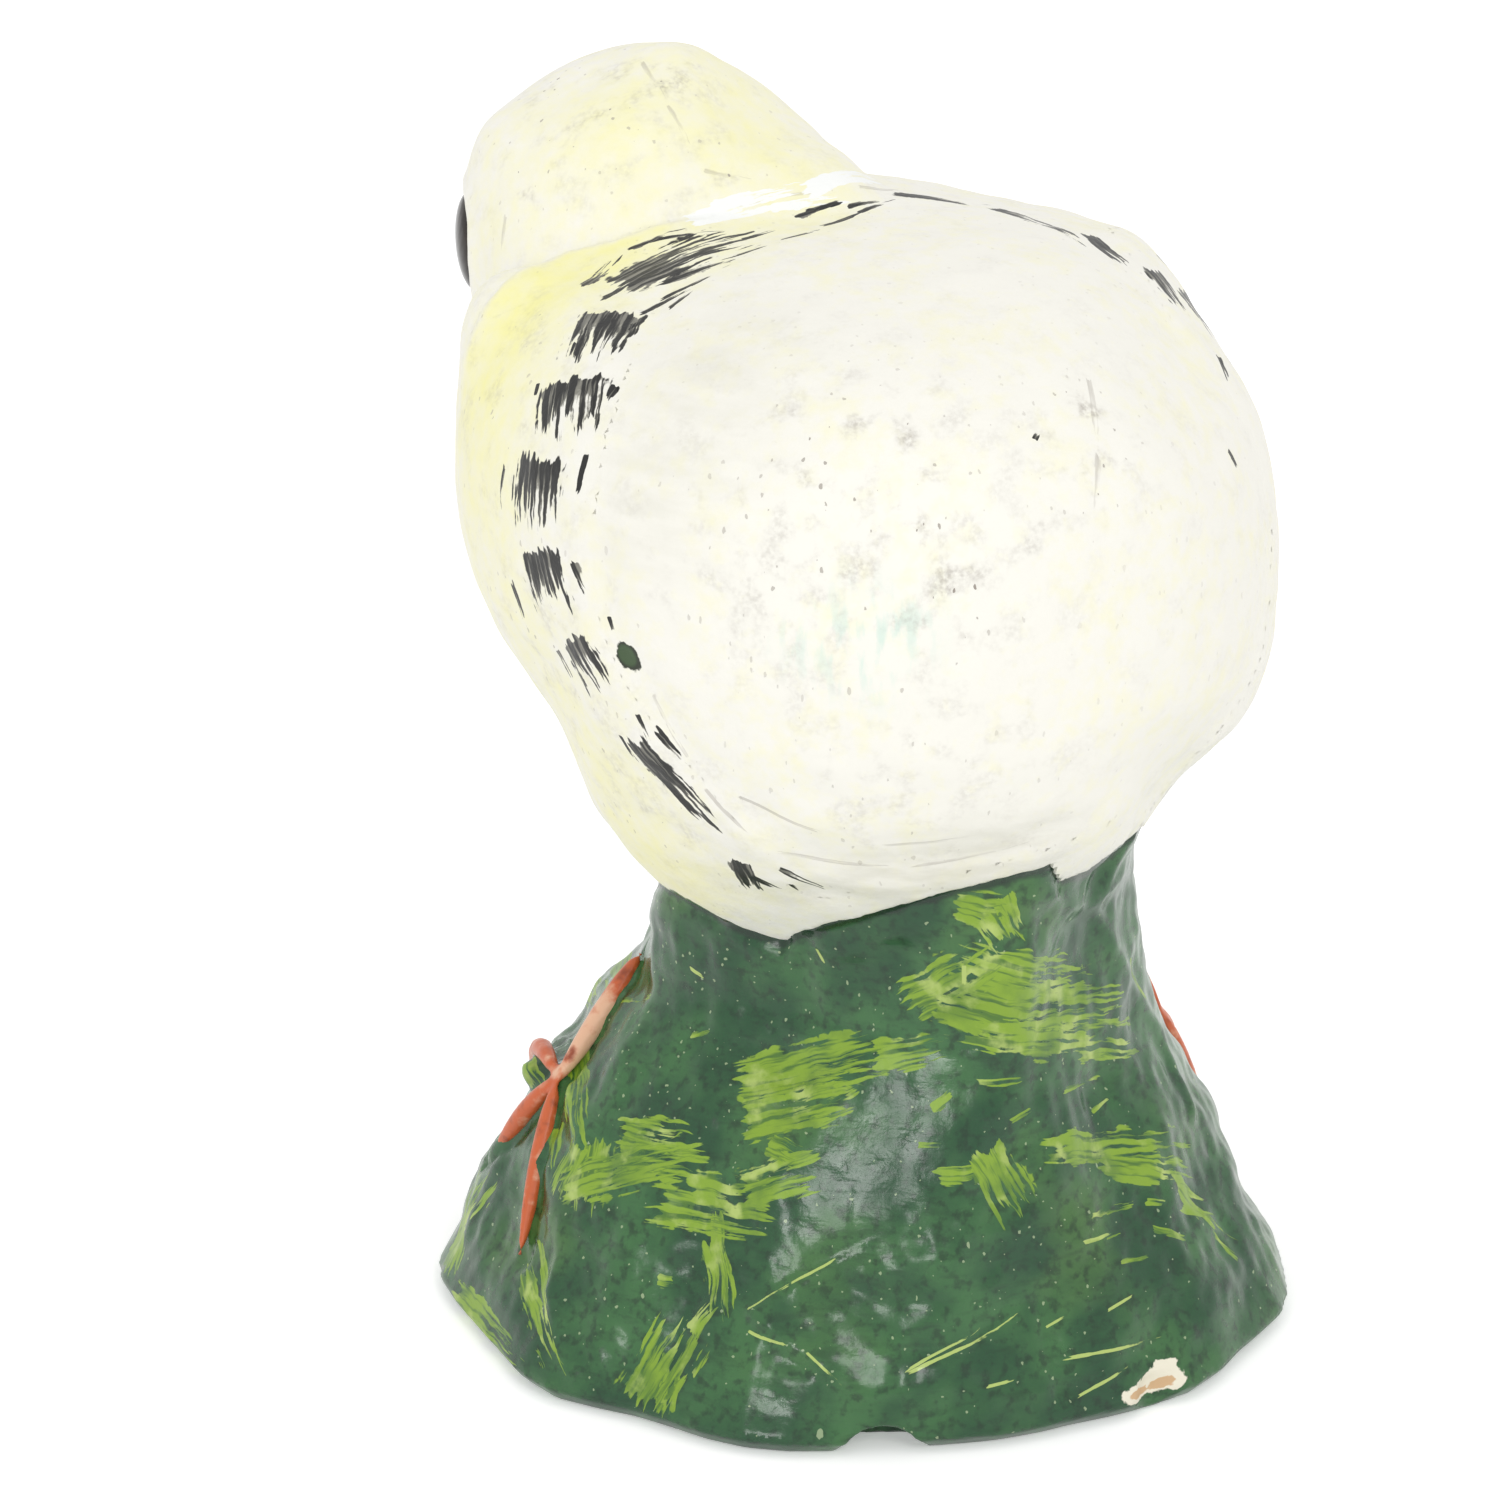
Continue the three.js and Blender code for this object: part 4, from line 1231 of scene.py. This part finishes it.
# %% Helpers for node groups, paints and colours
def new_group(name, inputs, outputs):
    """A new shader node group: its tree, the values given to it and its output node."""
    tree = bpy.data.node_groups.new(name, "ShaderNodeTree")
    for in_out, sockets in (("INPUT", inputs), ("OUTPUT", outputs)):
        for socket, kind in sockets.items():
            tree.interface.new_socket(socket, in_out=in_out, socket_type="NodeSocket" + kind)
    start = tree.nodes.new("NodeGroupInput")
    given = {socket: output(start, socket) for socket in inputs}
    return tree, given, tree.nodes.new("NodeGroupOutput")


def use_group(tree, group, inputs):
    """Places a node group in a material and hands back its outputs by name."""
    made = put(tree, "ShaderNodeGroup", inputs, node_tree=group)
    return {socket.name: Value(socket) for socket in made.outputs}


def new_material(name):
    material = bpy.data.materials.new(name)
    material.use_nodes = True
    return material, material.node_tree, material.node_tree.nodes["Principled BSDF"]


def finish_paint(shader, color, roughness, height, strength, depth):
    """Gives a paint its colour, its gloss and its fine relief."""
    tree = shader.id_data
    bump = put(tree, "ShaderNodeBump", {"Strength": strength, "Distance": depth, "Height": height})
    set_inputs(shader, {"Base Color": color, "Roughness": roughness, "Normal": output(bump)})


def srgb(*screen):
    """A colour written as it shows on screen, turned into the linear values Blender uses."""
    shares = [part / 255 for part in screen]
    linear = [share / 12.92 if share <= 0.04045 else ((share + 0.055) / 1.055) ** 2.4 for share in shares]
    return (*linear, 1)


# %% [markdown]
# The dry brush as a node group. It reads a layer's two vectors and puts out where its paint sits, and
# how thick each hair laid it. Noise stretched along the stroke draws the hairs, each hair leaves off
# at its own place, finer noise breaks the edge over the casting's grain, and the stroke thins out
# towards its far end. Along the stroke -1 is its start and 1 its end; across it 1 is its edge.

# %% Node group: dry brush
HAIRS_PER_MM = 2.9
HAIR_LENGTH = 4.0
# noise scale, noise detail, where a patch starts and where it is full
HAIR_PATCHES = (1, 3, 0.32, 0.68)
COMB_PATCHES = (1, 2, 0.35, 0.65)
SEED_STEP = 7.3
RUN_WOBBLE = 0.3
SIDE_WOBBLE = 0.9
COMB_WIDTH = 0.6
COMB_END = 0.7
COMB_START = 0.2
STROKE_SIDE = (0.65, 1.3)
STROKE_START = (-1.15, -0.9)
STROKE_END = (0.8, 1.2)
STROKE_WEAR = (-0.8, 0.9)
START_BRISTLE = 0.35
END_BRISTLE = 0.9
GRAIN_SHARE = 0.5
FRESH_PAINT = 0.3
PAINT_EDGE = (0.36, 0.64)
REACH_EDGE = (0.5, 0.9)
AREA_EDGE = (0.05, 0.25)

dry_brush, given, made = new_group(
    "dry brush",
    {
        "Place": "Vector", "Kind": "Vector", "Wobble": "Float", "Grain": "Float",
        "Bristle": "Float", "Thinning": "Float",
    },
    {"Mask": "Float", "Streak": "Float"},
)
far, aside, reach = axes(given["Place"])
half_length, half_width, seed = axes(given["Kind"])
wobble = given["Wobble"]
run = wobble * RUN_WOBBLE + far / half_length
off = wobble * SIDE_WOBBLE + abs(aside) / half_width
hair_off = aside * HAIRS_PER_MM + wobble
hair_seed = seed * SEED_STEP
hairs_at = put(dry_brush, "ShaderNodeCombineXYZ", {0: far / HAIR_LENGTH, 1: hair_off, 2: hair_seed})
comb_at = put(dry_brush, "ShaderNodeCombineXYZ", {1: hair_off * COMB_WIDTH, 2: hair_seed})
hairs = patches(output(hairs_at), *HAIR_PATCHES)
comb = patches(output(comb_at), *COMB_PATCHES)
begun = ramp(comb * COMB_START + (run - COMB_START), *STROKE_START)
left = 1 - ramp(comb * COMB_END + run, *STROKE_END)
area = (1 - ramp(off, *STROKE_SIDE)) * (begun * left)
worn = ramp(run, *STROKE_WEAR)
bristle = (worn * END_BRISTLE + START_BRISTLE) * given["Bristle"]
paint = (hairs - 0.5) * bristle + (area - worn * given["Thinning"])
paint = ramp(given["Grain"] * GRAIN_SHARE + paint, *PAINT_EDGE)
mask = paint * ramp(reach, *REACH_EDGE) * ramp(area, *AREA_EDGE)
set_inputs(made, {"Mask": mask, "Streak": worn * -FRESH_PAINT + (hairs + FRESH_PAINT)})
print(dry_brush.name, len(dry_brush.nodes), "nodes")

# %% [markdown]
# A renderer has room for only so many open values in one material. So each layer is made to wait for
# the one before it, by adding a vanishing share of that layer's mask to its own place.

# %% Paint all layers of a kind
WAIT = (1e-7, 1e-7, 1e-7)
GRAIN = (2600, 2)
WOBBLE_DETAIL = 2
DROP_RAGS = (1100, 3)
DROP_RAGGED = 1.1
DROP_EDGE = (0.0, 0.12)


def brushed(tree, kind, layers, bristle, thinning, after=None, bend=900, swing=1.0):
    """Where the paint of all the layers of one kind sits in this material, and how thick its hairs lie."""
    where = object_place(tree)
    inputs = {"Bristle": bristle, "Thinning": thinning, "Grain": swings(where, *GRAIN)}
    inputs["Wobble"] = swings(where, bend, WOBBLE_DETAIL) * swing
    mask, streak = None, None
    for number in range(len(layers)):
        place = attribute(tree, f"{kind}{number}_place", "Vector")
        before = mask or after
        inputs["Place"] = scaled(before, WAIT, place) if before else place
        inputs["Kind"] = attribute(tree, f"{kind}{number}_kind", "Vector")
        layer = use_group(tree, dry_brush, inputs)
        if mask:
            over = calc("GREATER_THAN", layer["Mask"], mask)
            streak = (layer["Streak"] - streak) * over + streak
            mask = calc("MAXIMUM", mask, layer["Mask"])
        else:
            mask, streak = layer["Mask"], layer["Streak"]
    return mask, streak


def drops(tree, name):
    """Where the drops of one kind sit, with a ragged edge."""
    return ramp(swings(object_place(tree), *DROP_RAGS) * DROP_RAGGED + attribute(tree, name), *DROP_EDGE)


# %% [markdown]
# Pits: tiny bubbles in the casting and dust in the paint, as sparse dots. Stretched coordinates make
# ticks of them.

# %% Node group: pits
PIT_SHAKE = (0.00035, 0.00035, 0.00035)
PIT_SHAKE_SCALE = 2500

pits, given, made = new_group(
    "pits", {"Where": "Vector", "Spacing": "Float", "Size": "Float", "Share": "Float"}, {"Mask": "Float"}
)
scale = calc("DIVIDE", 1, given["Spacing"])
shake = put(pits, "ShaderNodeTexNoise", {"Vector": given["Where"], "Scale": PIT_SHAKE_SCALE})
shaken = scaled(output(shake, "Color"), PIT_SHAKE, given["Where"])
cells = put(pits, "ShaderNodeTexVoronoi", {"Vector": shaken, "Scale": scale})
chance = put(pits, "ShaderNodeSeparateColor", {0: output(cells, "Color")})
dot = calc("LESS_THAN", output(cells, "Distance"), given["Size"] * (output(chance, 1) * scale))
set_inputs(made, {"Mask": dot * calc("LESS_THAN", output(chance, 0), given["Share"])})
print(pits.name, len(pits.nodes), "nodes")


def pitted(tree, where, spacing, size, share):
    """Where the pits sit, with their spacing and size in metres and the share of places that has one."""
    return use_group(tree, pits, {"Where": where, "Spacing": spacing, "Size": size, "Share": share})["Mask"]


# %% [markdown]
# The moss coat: dark green gloss with cloudy patches, finer mottling, brush marks that run round the
# mound, and pale dust. The mound wears it all over, and the bird where the green runs over the joint
# as far as the white rim, so it is a group that both paints use.

# %% Node group: moss coat
MOSS_DEEP = srgb(12, 40, 24)
MOSS_DARK = srgb(26, 74, 42)
MOSS_MID = srgb(58, 108, 60)
MOSS_OLIVE = srgb(84, 112, 48)
DUST_PALE = srgb(186, 204, 160)
# noise scale, noise detail, where a patch starts and where it is full
MOSS_CLOUDS = (150, 5, 0.35, 0.65)
OLIVE_CLOUDS = (75, 4, 0.52, 0.75)
OLIVE_SHARE = 0.4
MOTTLE = (1300, 5, 0.48, 0.7)
MOTTLE_SHARE = 0.6
LEVEL_SQUEEZE = (0.3, 0.3, 1.0)
BRUSH_MARKS = (1500, 3)
BRUSH_EDGE = (0.5, 0.75)
BRUSH_SHARE = 0.35
BRUSH_HEIGHT = 0.25
TICK_SQUEEZE = (0.6, 0.6, 0.3)
# spacing and size in metres
DUST_DOTS = (0.00055, 0.00012)
DUST_TICKS = (0.0011, 0.0002)
DOT_SHARE = 0.7
TICK_SHARE = 0.3
FLECK_SHARE = 0.55
FLECK_HEIGHT = -0.4
MOSS_TONE = (420, 5)

moss_coat, given, made = new_group(
    "moss coat", {"Dust": "Float"}, {"Color": "Color", "Tone": "Float", "Height": "Float"}
)
where = object_place(moss_coat)
color = blend(patches(where, *MOSS_CLOUDS), MOSS_DARK, MOSS_MID)
color = blend(patches(where, *OLIVE_CLOUDS) * OLIVE_SHARE, color, MOSS_OLIVE)
color = blend(patches(where, *MOTTLE) * MOTTLE_SHARE, color, MOSS_DEEP)
brush_marks = noise(scaled(where, LEVEL_SQUEEZE), *BRUSH_MARKS)
color = blend(ramp(brush_marks, *BRUSH_EDGE) * BRUSH_SHARE, color, MOSS_DEEP)
dots = pitted(moss_coat, where, *DUST_DOTS, given["Dust"] * DOT_SHARE)
ticks = pitted(moss_coat, scaled(where, TICK_SQUEEZE), *DUST_TICKS, given["Dust"] * TICK_SHARE)
flecks = calc("MAXIMUM", dots, ticks)
color = blend(flecks * FLECK_SHARE, color, DUST_PALE)
tone = noise(where, *MOSS_TONE)
height = flecks * FLECK_HEIGHT + (brush_marks * BRUSH_HEIGHT + tone)
set_inputs(made, {"Color": color, "Tone": tone, "Height": height})
print(moss_coat.name, len(moss_coat.nodes), "nodes")

# %% [markdown]
# Bird paint: warm ivory with a straw wash off the disc, grey painted shade, grey stains, a green splash
# and black bars, and the moss coat below the white rim.

# %% Colours of the bird
IVORY = srgb(247, 245, 236)
STRAW = srgb(250, 246, 172)
# the white of the nape strokes, partly white paint and partly a painted highlight
CHALK_AND_HIGHLIGHT = srgb(251, 252, 250)
STAIN = srgb(160, 152, 142)
# the grey of the painted shade
PAINTED_SHADE = srgb(208, 206, 188)
MINT = srgb(216, 236, 224)
BAR = srgb(26, 26, 24)
BAR_THIN = srgb(132, 130, 120)
SPLASH = srgb(62, 84, 52)
SPLASH_EDGE = srgb(38, 46, 30)

# %% Patterns of the bird
# noise scale and detail
WASH_CLOUDS = (160, 3)
WASH_BLOTCHES = (800, 4)
LIP_RAGS = (900, 4)
PLASTER = (700, 4)
# noise scale, noise detail, where a patch starts and where it is full
LEVEL_MARKS = (900, 4, 0.3, 0.7)
UPRIGHT_MARKS = (1100, 4, 0.45, 0.65)
SMUDGES = (420, 5, 0.48, 0.7)
SMUDGE_GRAIN = (2600, 3, 0.25, 0.75)
BAND_SQUEEZE = (0.25, 0.25, 1.0)
SMEAR_SQUEEZE = (1.0, 1.0, 0.3)
DUST_SQUEEZE = (1.0, 1.0, 0.5)
# spacing and size in metres, then the share of places that has one
BIRD_PITS = (0.0007, 0.00014, 0.5)
# strength, then depth in metres
BIRD_BUMP = (0.5, 0.00025)
PIT_HEIGHT = -0.6
# shares of one coat in the next
CLOUD_SHARE = 0.6
BLOTCH_SHARE = 0.8
# shares of the painted shade: everywhere it lies, and where brush marks streak it
PAINTED_SHADE_SHARES = (0.3, 0.6)
STAIN_SHARE = 0.35
PIT_SHARE = 0.75
SMUDGE_SHARE = 0.45
RAG_SHARE = 0.5
# where an edge starts and where it is full
SPLASH_RING = (0.1, 0.4)
INK_EDGE = (0.25, 0.85)
LIP_EDGE = (-0.04, 0.06)
MOSS_DUST = 0.4
IVORY_ROUGHNESS = 0.55
MOSS_SMOOTHER = -0.27
BARS_SMOOTHER = -0.15

# %% Bird paint
bird_paint, tree, shader = new_material("brushed_bird_paint")
where = object_place(tree)
clouds = swings(where, *WASH_CLOUDS) * CLOUD_SHARE
wash = clouds + attribute(tree, "wash") + swings(where, *WASH_BLOTCHES) * BLOTCH_SHARE
color = blend(wash, IVORY, STRAW)
level_marks = patches(scaled(where, BAND_SQUEEZE), *LEVEL_MARKS)
# Grey painted shade on the turned-under lower band and the upper left of the disc, streaked by brush marks.
painted_shade = attribute(tree, "painted_shade") * (level_marks * PAINTED_SHADE_SHARES[1] + PAINTED_SHADE_SHARES[0])
color = blend(painted_shade, color, PAINTED_SHADE)
upright_marks = patches(scaled(where, SMEAR_SQUEEZE), *UPRIGHT_MARKS)
color = blend(attribute(tree, "mint") * upright_marks, color, MINT)
stain, stain_streak = brushed(tree, "stain", bird_layers["stain"], bristle=1.2, thinning=0.3)
color = blend(stain * (stain_streak * STAIN_SHARE), color, STAIN)
dust = pitted(tree, scaled(where, DUST_SQUEEZE), *BIRD_PITS)
smudge = patches(where, *SMUDGES) * SMUDGE_SHARE * patches(where, *SMUDGE_GRAIN)
grime = attribute(tree, "grime") * calc("MAXIMUM", dust * PIT_SHARE, smudge)
color = blend(grime, color, STAIN)
# Chalk-white strokes along the nape, partly white paint and partly a painted highlight.
white, _ = brushed(tree, "white", bird_layers["white"], bristle=1.1, thinning=0.3, after=stain)
color = blend(white, color, CHALK_AND_HIGHLIGHT)
splash_color = blend(ramp(attribute(tree, "splash"), *SPLASH_RING), SPLASH_EDGE, SPLASH)
color = blend(drops(tree, "splash"), color, splash_color)
bars, bar_streak = brushed(tree, "bar", bird_layers["bar"], bristle=1.5, thinning=0.42, after=white)
color = blend(bars, color, blend(ramp(bar_streak, *INK_EDGE), BAR_THIN, BAR))
moss = use_group(tree, moss_coat, {"Dust": MOSS_DUST})
under_rim = ramp(swings(where, *LIP_RAGS) * RAG_SHARE + attribute(tree, "below_rim"), *LIP_EDGE)
color = blend(under_rim, color, moss["Color"])
roughness = bars * BARS_SMOOTHER + (under_rim * MOSS_SMOOTHER + IVORY_ROUGHNESS)
finish_paint(shader, color, roughness, dust * PIT_HEIGHT + noise(where, *PLASTER), *BIRD_BUMP)
for piece in bird_pieces:
    piece.data.materials.append(bird_paint)
print(bird_paint.name, len(tree.nodes), "nodes")

# %% [markdown]
# Mound paint: the moss coat with lime dragged over it, scratches, a painted shadow line just under the
# bird's white lip, and the cream resin showing where the rim is chipped.

# %% Mound paint
LIME_DEEP = srgb(76, 116, 40)
LIME_PAINT = srgb(132, 166, 44)
LIME_PALE = srgb(178, 198, 110)
BARE_RESIN = srgb(240, 234, 214)
BARE_CORE = srgb(214, 178, 136)
# noise scale, noise detail, where a patch starts and where it is full
LIME_SHADE = (260, 4, 0.48, 0.7)
LIME_BEND = 420
LIME_SWING = 2.0
LIME_SHADE_SHARE = 0.6
# where an edge starts and where it is full
LIME_STREAKS = (0.35, 0.9)
LIME_HIGHLIGHTS = (0.5, 0.7)
# painted shadow under the bird's lip: where it starts and is full, how ragged it is and how dark
LIP_SHADOW_EDGE = (0.1, 0.5)
LIP_SHADOW_RAGS = 0.8
LIP_SHADOW_SHARE = 0.85
MOSS_SPECULAR = 0.5
# roughness, and what tone, lime and bare resin add to it
MOSS_ROUGHNESS = 0.1
TONE_ROUGHER = 0.24
LIME_ROUGHER = 0.14
BARE_ROUGHER = 0.3
CHIP_HEIGHT = -0.6
# strength, then depth in metres
MOUND_BUMP = (0.28, 0.0003)

mound_paint, tree, shader = new_material("mossy_gloss_paint")
moss = use_group(tree, moss_coat, {"Dust": attribute(tree, "dust")})
lime, lime_streak = brushed(
    tree, "lime", mound_layers["lime"], bristle=1.8, thinning=0.25, bend=LIME_BEND, swing=LIME_SWING
)
lime_color = blend(ramp(lime_streak, *LIME_STREAKS), LIME_DEEP, LIME_PAINT)
shaded = patches(object_place(tree), *LIME_SHADE) * LIME_SHADE_SHARE
lime_color = blend(shaded, lime_color, LIME_DEEP)
lime_color = blend(ramp(moss["Tone"], *LIME_HIGHLIGHTS), lime_color, LIME_PALE)
color = blend(lime, moss["Color"], lime_color)
scratch, _ = brushed(tree, "scratch", mound_layers["scratch"], bristle=0.9, thinning=0.2, after=lime)
color = blend(scratch, color, LIME_PALE)
# A painted shadow: a dark line on the green just under the bird's white lip.
off_lip_shadow = ramp((moss["Tone"] - 0.5) * LIP_SHADOW_RAGS + attribute(tree, "below_rim"), *LIP_SHADOW_EDGE)
color = blend(LIP_SHADOW_SHARE - off_lip_shadow * LIP_SHADOW_SHARE, color, MOSS_DEEP)
bare = drops(tree, "chip")
color = blend(bare, color, BARE_RESIN)
color = blend(drops(tree, "core"), color, BARE_CORE)
roughness = lime * LIME_ROUGHER + (moss["Tone"] * TONE_ROUGHER + MOSS_ROUGHNESS)
roughness = bare * BARE_ROUGHER + roughness
shader.inputs["Specular IOR Level"].default_value = MOSS_SPECULAR
finish_paint(shader, color, roughness, bare * CHIP_HEIGHT + moss["Height"], *MOUND_BUMP)
mound.data.materials.append(mound_paint)
print(mound_paint.name, len(tree.nodes), "nodes")

# %% [markdown]
# Orange for feet and beak, pale where it is thin. The pale spots on the leg are partly worn thin paint
# and partly a painted highlight. Black gloss for the eyes.

# %% Orange paint and eye gloss
ORANGE = srgb(204, 98, 52)
ORANGE_PALE = srgb(232, 184, 152)
ORANGE_BROWN = srgb(148, 66, 36)
EYE_BLACK = srgb(22, 21, 20)
EYE_BROWN = srgb(52, 42, 34)
# noise scale and detail
ORANGE_CLOUDS = (700, 4)
ORANGE_GRAIN = (900, 3)
EYE_CLOUDS = (600, 2)
# where an edge starts and where it is full
BROWN_EDGE = (0.22, 0.46)
PALE_EDGE = (0.55, 0.8)
LEG_WEAR_AND_HIGHLIGHT_SHARE = 0.35
ORANGE_ROUGHNESS = 0.35
EYE_ROUGHNESS = 0.12
# strength, then depth in metres
ORANGE_BUMP = (0.3, 0.0002)

orange_paint, tree, shader = new_material("orange_foot_paint")
where = object_place(tree)
thin = noise(where, *ORANGE_CLOUDS)
color = blend(ramp(thin, *BROWN_EDGE), ORANGE_BROWN, ORANGE)
# Pale where the paint is thin, and on the leg partly a painted highlight.
pale_wear_and_highlight = ramp(attribute(tree, "pale_wear_and_highlight") * LEG_WEAR_AND_HIGHLIGHT_SHARE + thin, *PALE_EDGE)
color = blend(pale_wear_and_highlight, color, ORANGE_PALE)
finish_paint(shader, color, ORANGE_ROUGHNESS, noise(where, *ORANGE_GRAIN), *ORANGE_BUMP)
for piece in orange_pieces:
    piece.data.materials.append(orange_paint)

eye_gloss, tree, shader = new_material("black_eye_gloss")
color = blend(noise(object_place(tree), *EYE_CLOUDS), EYE_BLACK, EYE_BROWN)
set_inputs(shader, {"Base Color": color, "Roughness": EYE_ROUGHNESS})
for name in EYE_NODES:
    small[name].data.materials.append(eye_gloss)
print(orange_paint.name, "and", eye_gloss.name, "are dry")

# %% [markdown]
# The floor is plain and pale. Camera and mirror rays see it as white paper, dimmed only where the
# figurine keeps the light off. Most of the light on the object comes from white air all round.

# %% Paper floor and white air
FLOOR_HALF = 3
PAPER = srgb(250, 250, 250)
PAPER_ROUGHNESS = 0.9
PAPER_GLOW = 0.32
WHITE = (1, 1, 1, 1)
AIR_STRENGTH = 0.88

scene = bpy.context.scene
scene.view_settings.view_transform = "Standard"


def seen_directly(tree):
    """1 for rays from the camera, off gloss or through glass, else 0."""
    rays = put(tree, "ShaderNodeLightPath")
    mirror = calc("MAXIMUM", output(rays, "Is Glossy Ray"), output(rays, "Is Transmission Ray"))
    return calc("MAXIMUM", output(rays, "Is Camera Ray"), mirror)


mesh = bmesh.new()
bmesh.ops.create_grid(mesh, x_segments=1, y_segments=1, size=FLOOR_HALF)
floor = add_piece("studio_floor", mesh)
paper, tree, shader = new_material("studio_paper")
glow = seen_directly(tree) * PAPER_GLOW
set_inputs(shader, {"Base Color": PAPER, "Roughness": PAPER_ROUGHNESS})
set_inputs(shader, {"Emission Color": WHITE, "Emission Strength": glow})
floor.data.materials.append(paper)

world = bpy.data.worlds.new("studio_air")
world.use_nodes = True
scene.world = world
tree = world.node_tree
strength = put(tree, "ShaderNodeMapRange", {0: seen_directly(tree), 3: AIR_STRENGTH, 4: 1.0})
set_inputs(tree.nodes["Background"], {"Color": WHITE, "Strength": output(strength)})
print("floor", 2 * FLOOR_HALF, "metres wide")

# %% [markdown]
# A soft lamp, higher than the camera and a little beside it, models the round shapes. A small one
# stands where the mound's facet mirrors it into the camera, and makes the patch of gloss on the green.

# %% Lamps
LAMP_BEARING = math.radians(90)
LAMP_CLIMB = math.radians(38)
LAMP_DISTANCE = 900 * MM
LAMP_SIDES = {"soft_lamp": 240 * MM, "gloss_lamp": 150 * MM}
LAMP_WATTS = {"soft_lamp": 0.95, "gloss_lamp": 0.6}

level = math.cos(LAMP_CLIMB)
to_lamp = (math.cos(LAMP_BEARING) * level, math.sin(LAMP_BEARING) * level, math.sin(LAMP_CLIMB))
facet_normal = Vector(facet_way)
to_camera = (view_spot - Vector(facet_middle)).normalized()
off_facet = 2 * facet_normal.dot(to_camera) * facet_normal - to_camera
lamps = (("soft_lamp", VIEW_AIM, Vector(to_lamp)), ("gloss_lamp", Vector(facet_middle), off_facet))
for name, aim, way in lamps:
    lamp = bpy.data.lights.new(name, "AREA")
    lamp.shape = "DISK"
    lamp.size = LAMP_SIDES[name]
    lamp.energy = LAMP_WATTS[name]
    lamp_object = bpy.data.objects.new(name, lamp)
    lamp_object.location = aim + way * LAMP_DISTANCE
    lamp_object.rotation_euler = way.to_track_quat("Z", "Y").to_euler()
    lamp_object.visible_camera = False
    scene.collection.objects.link(lamp_object)
    print(name, "at", [round(v, 2) for v in lamp_object.location])
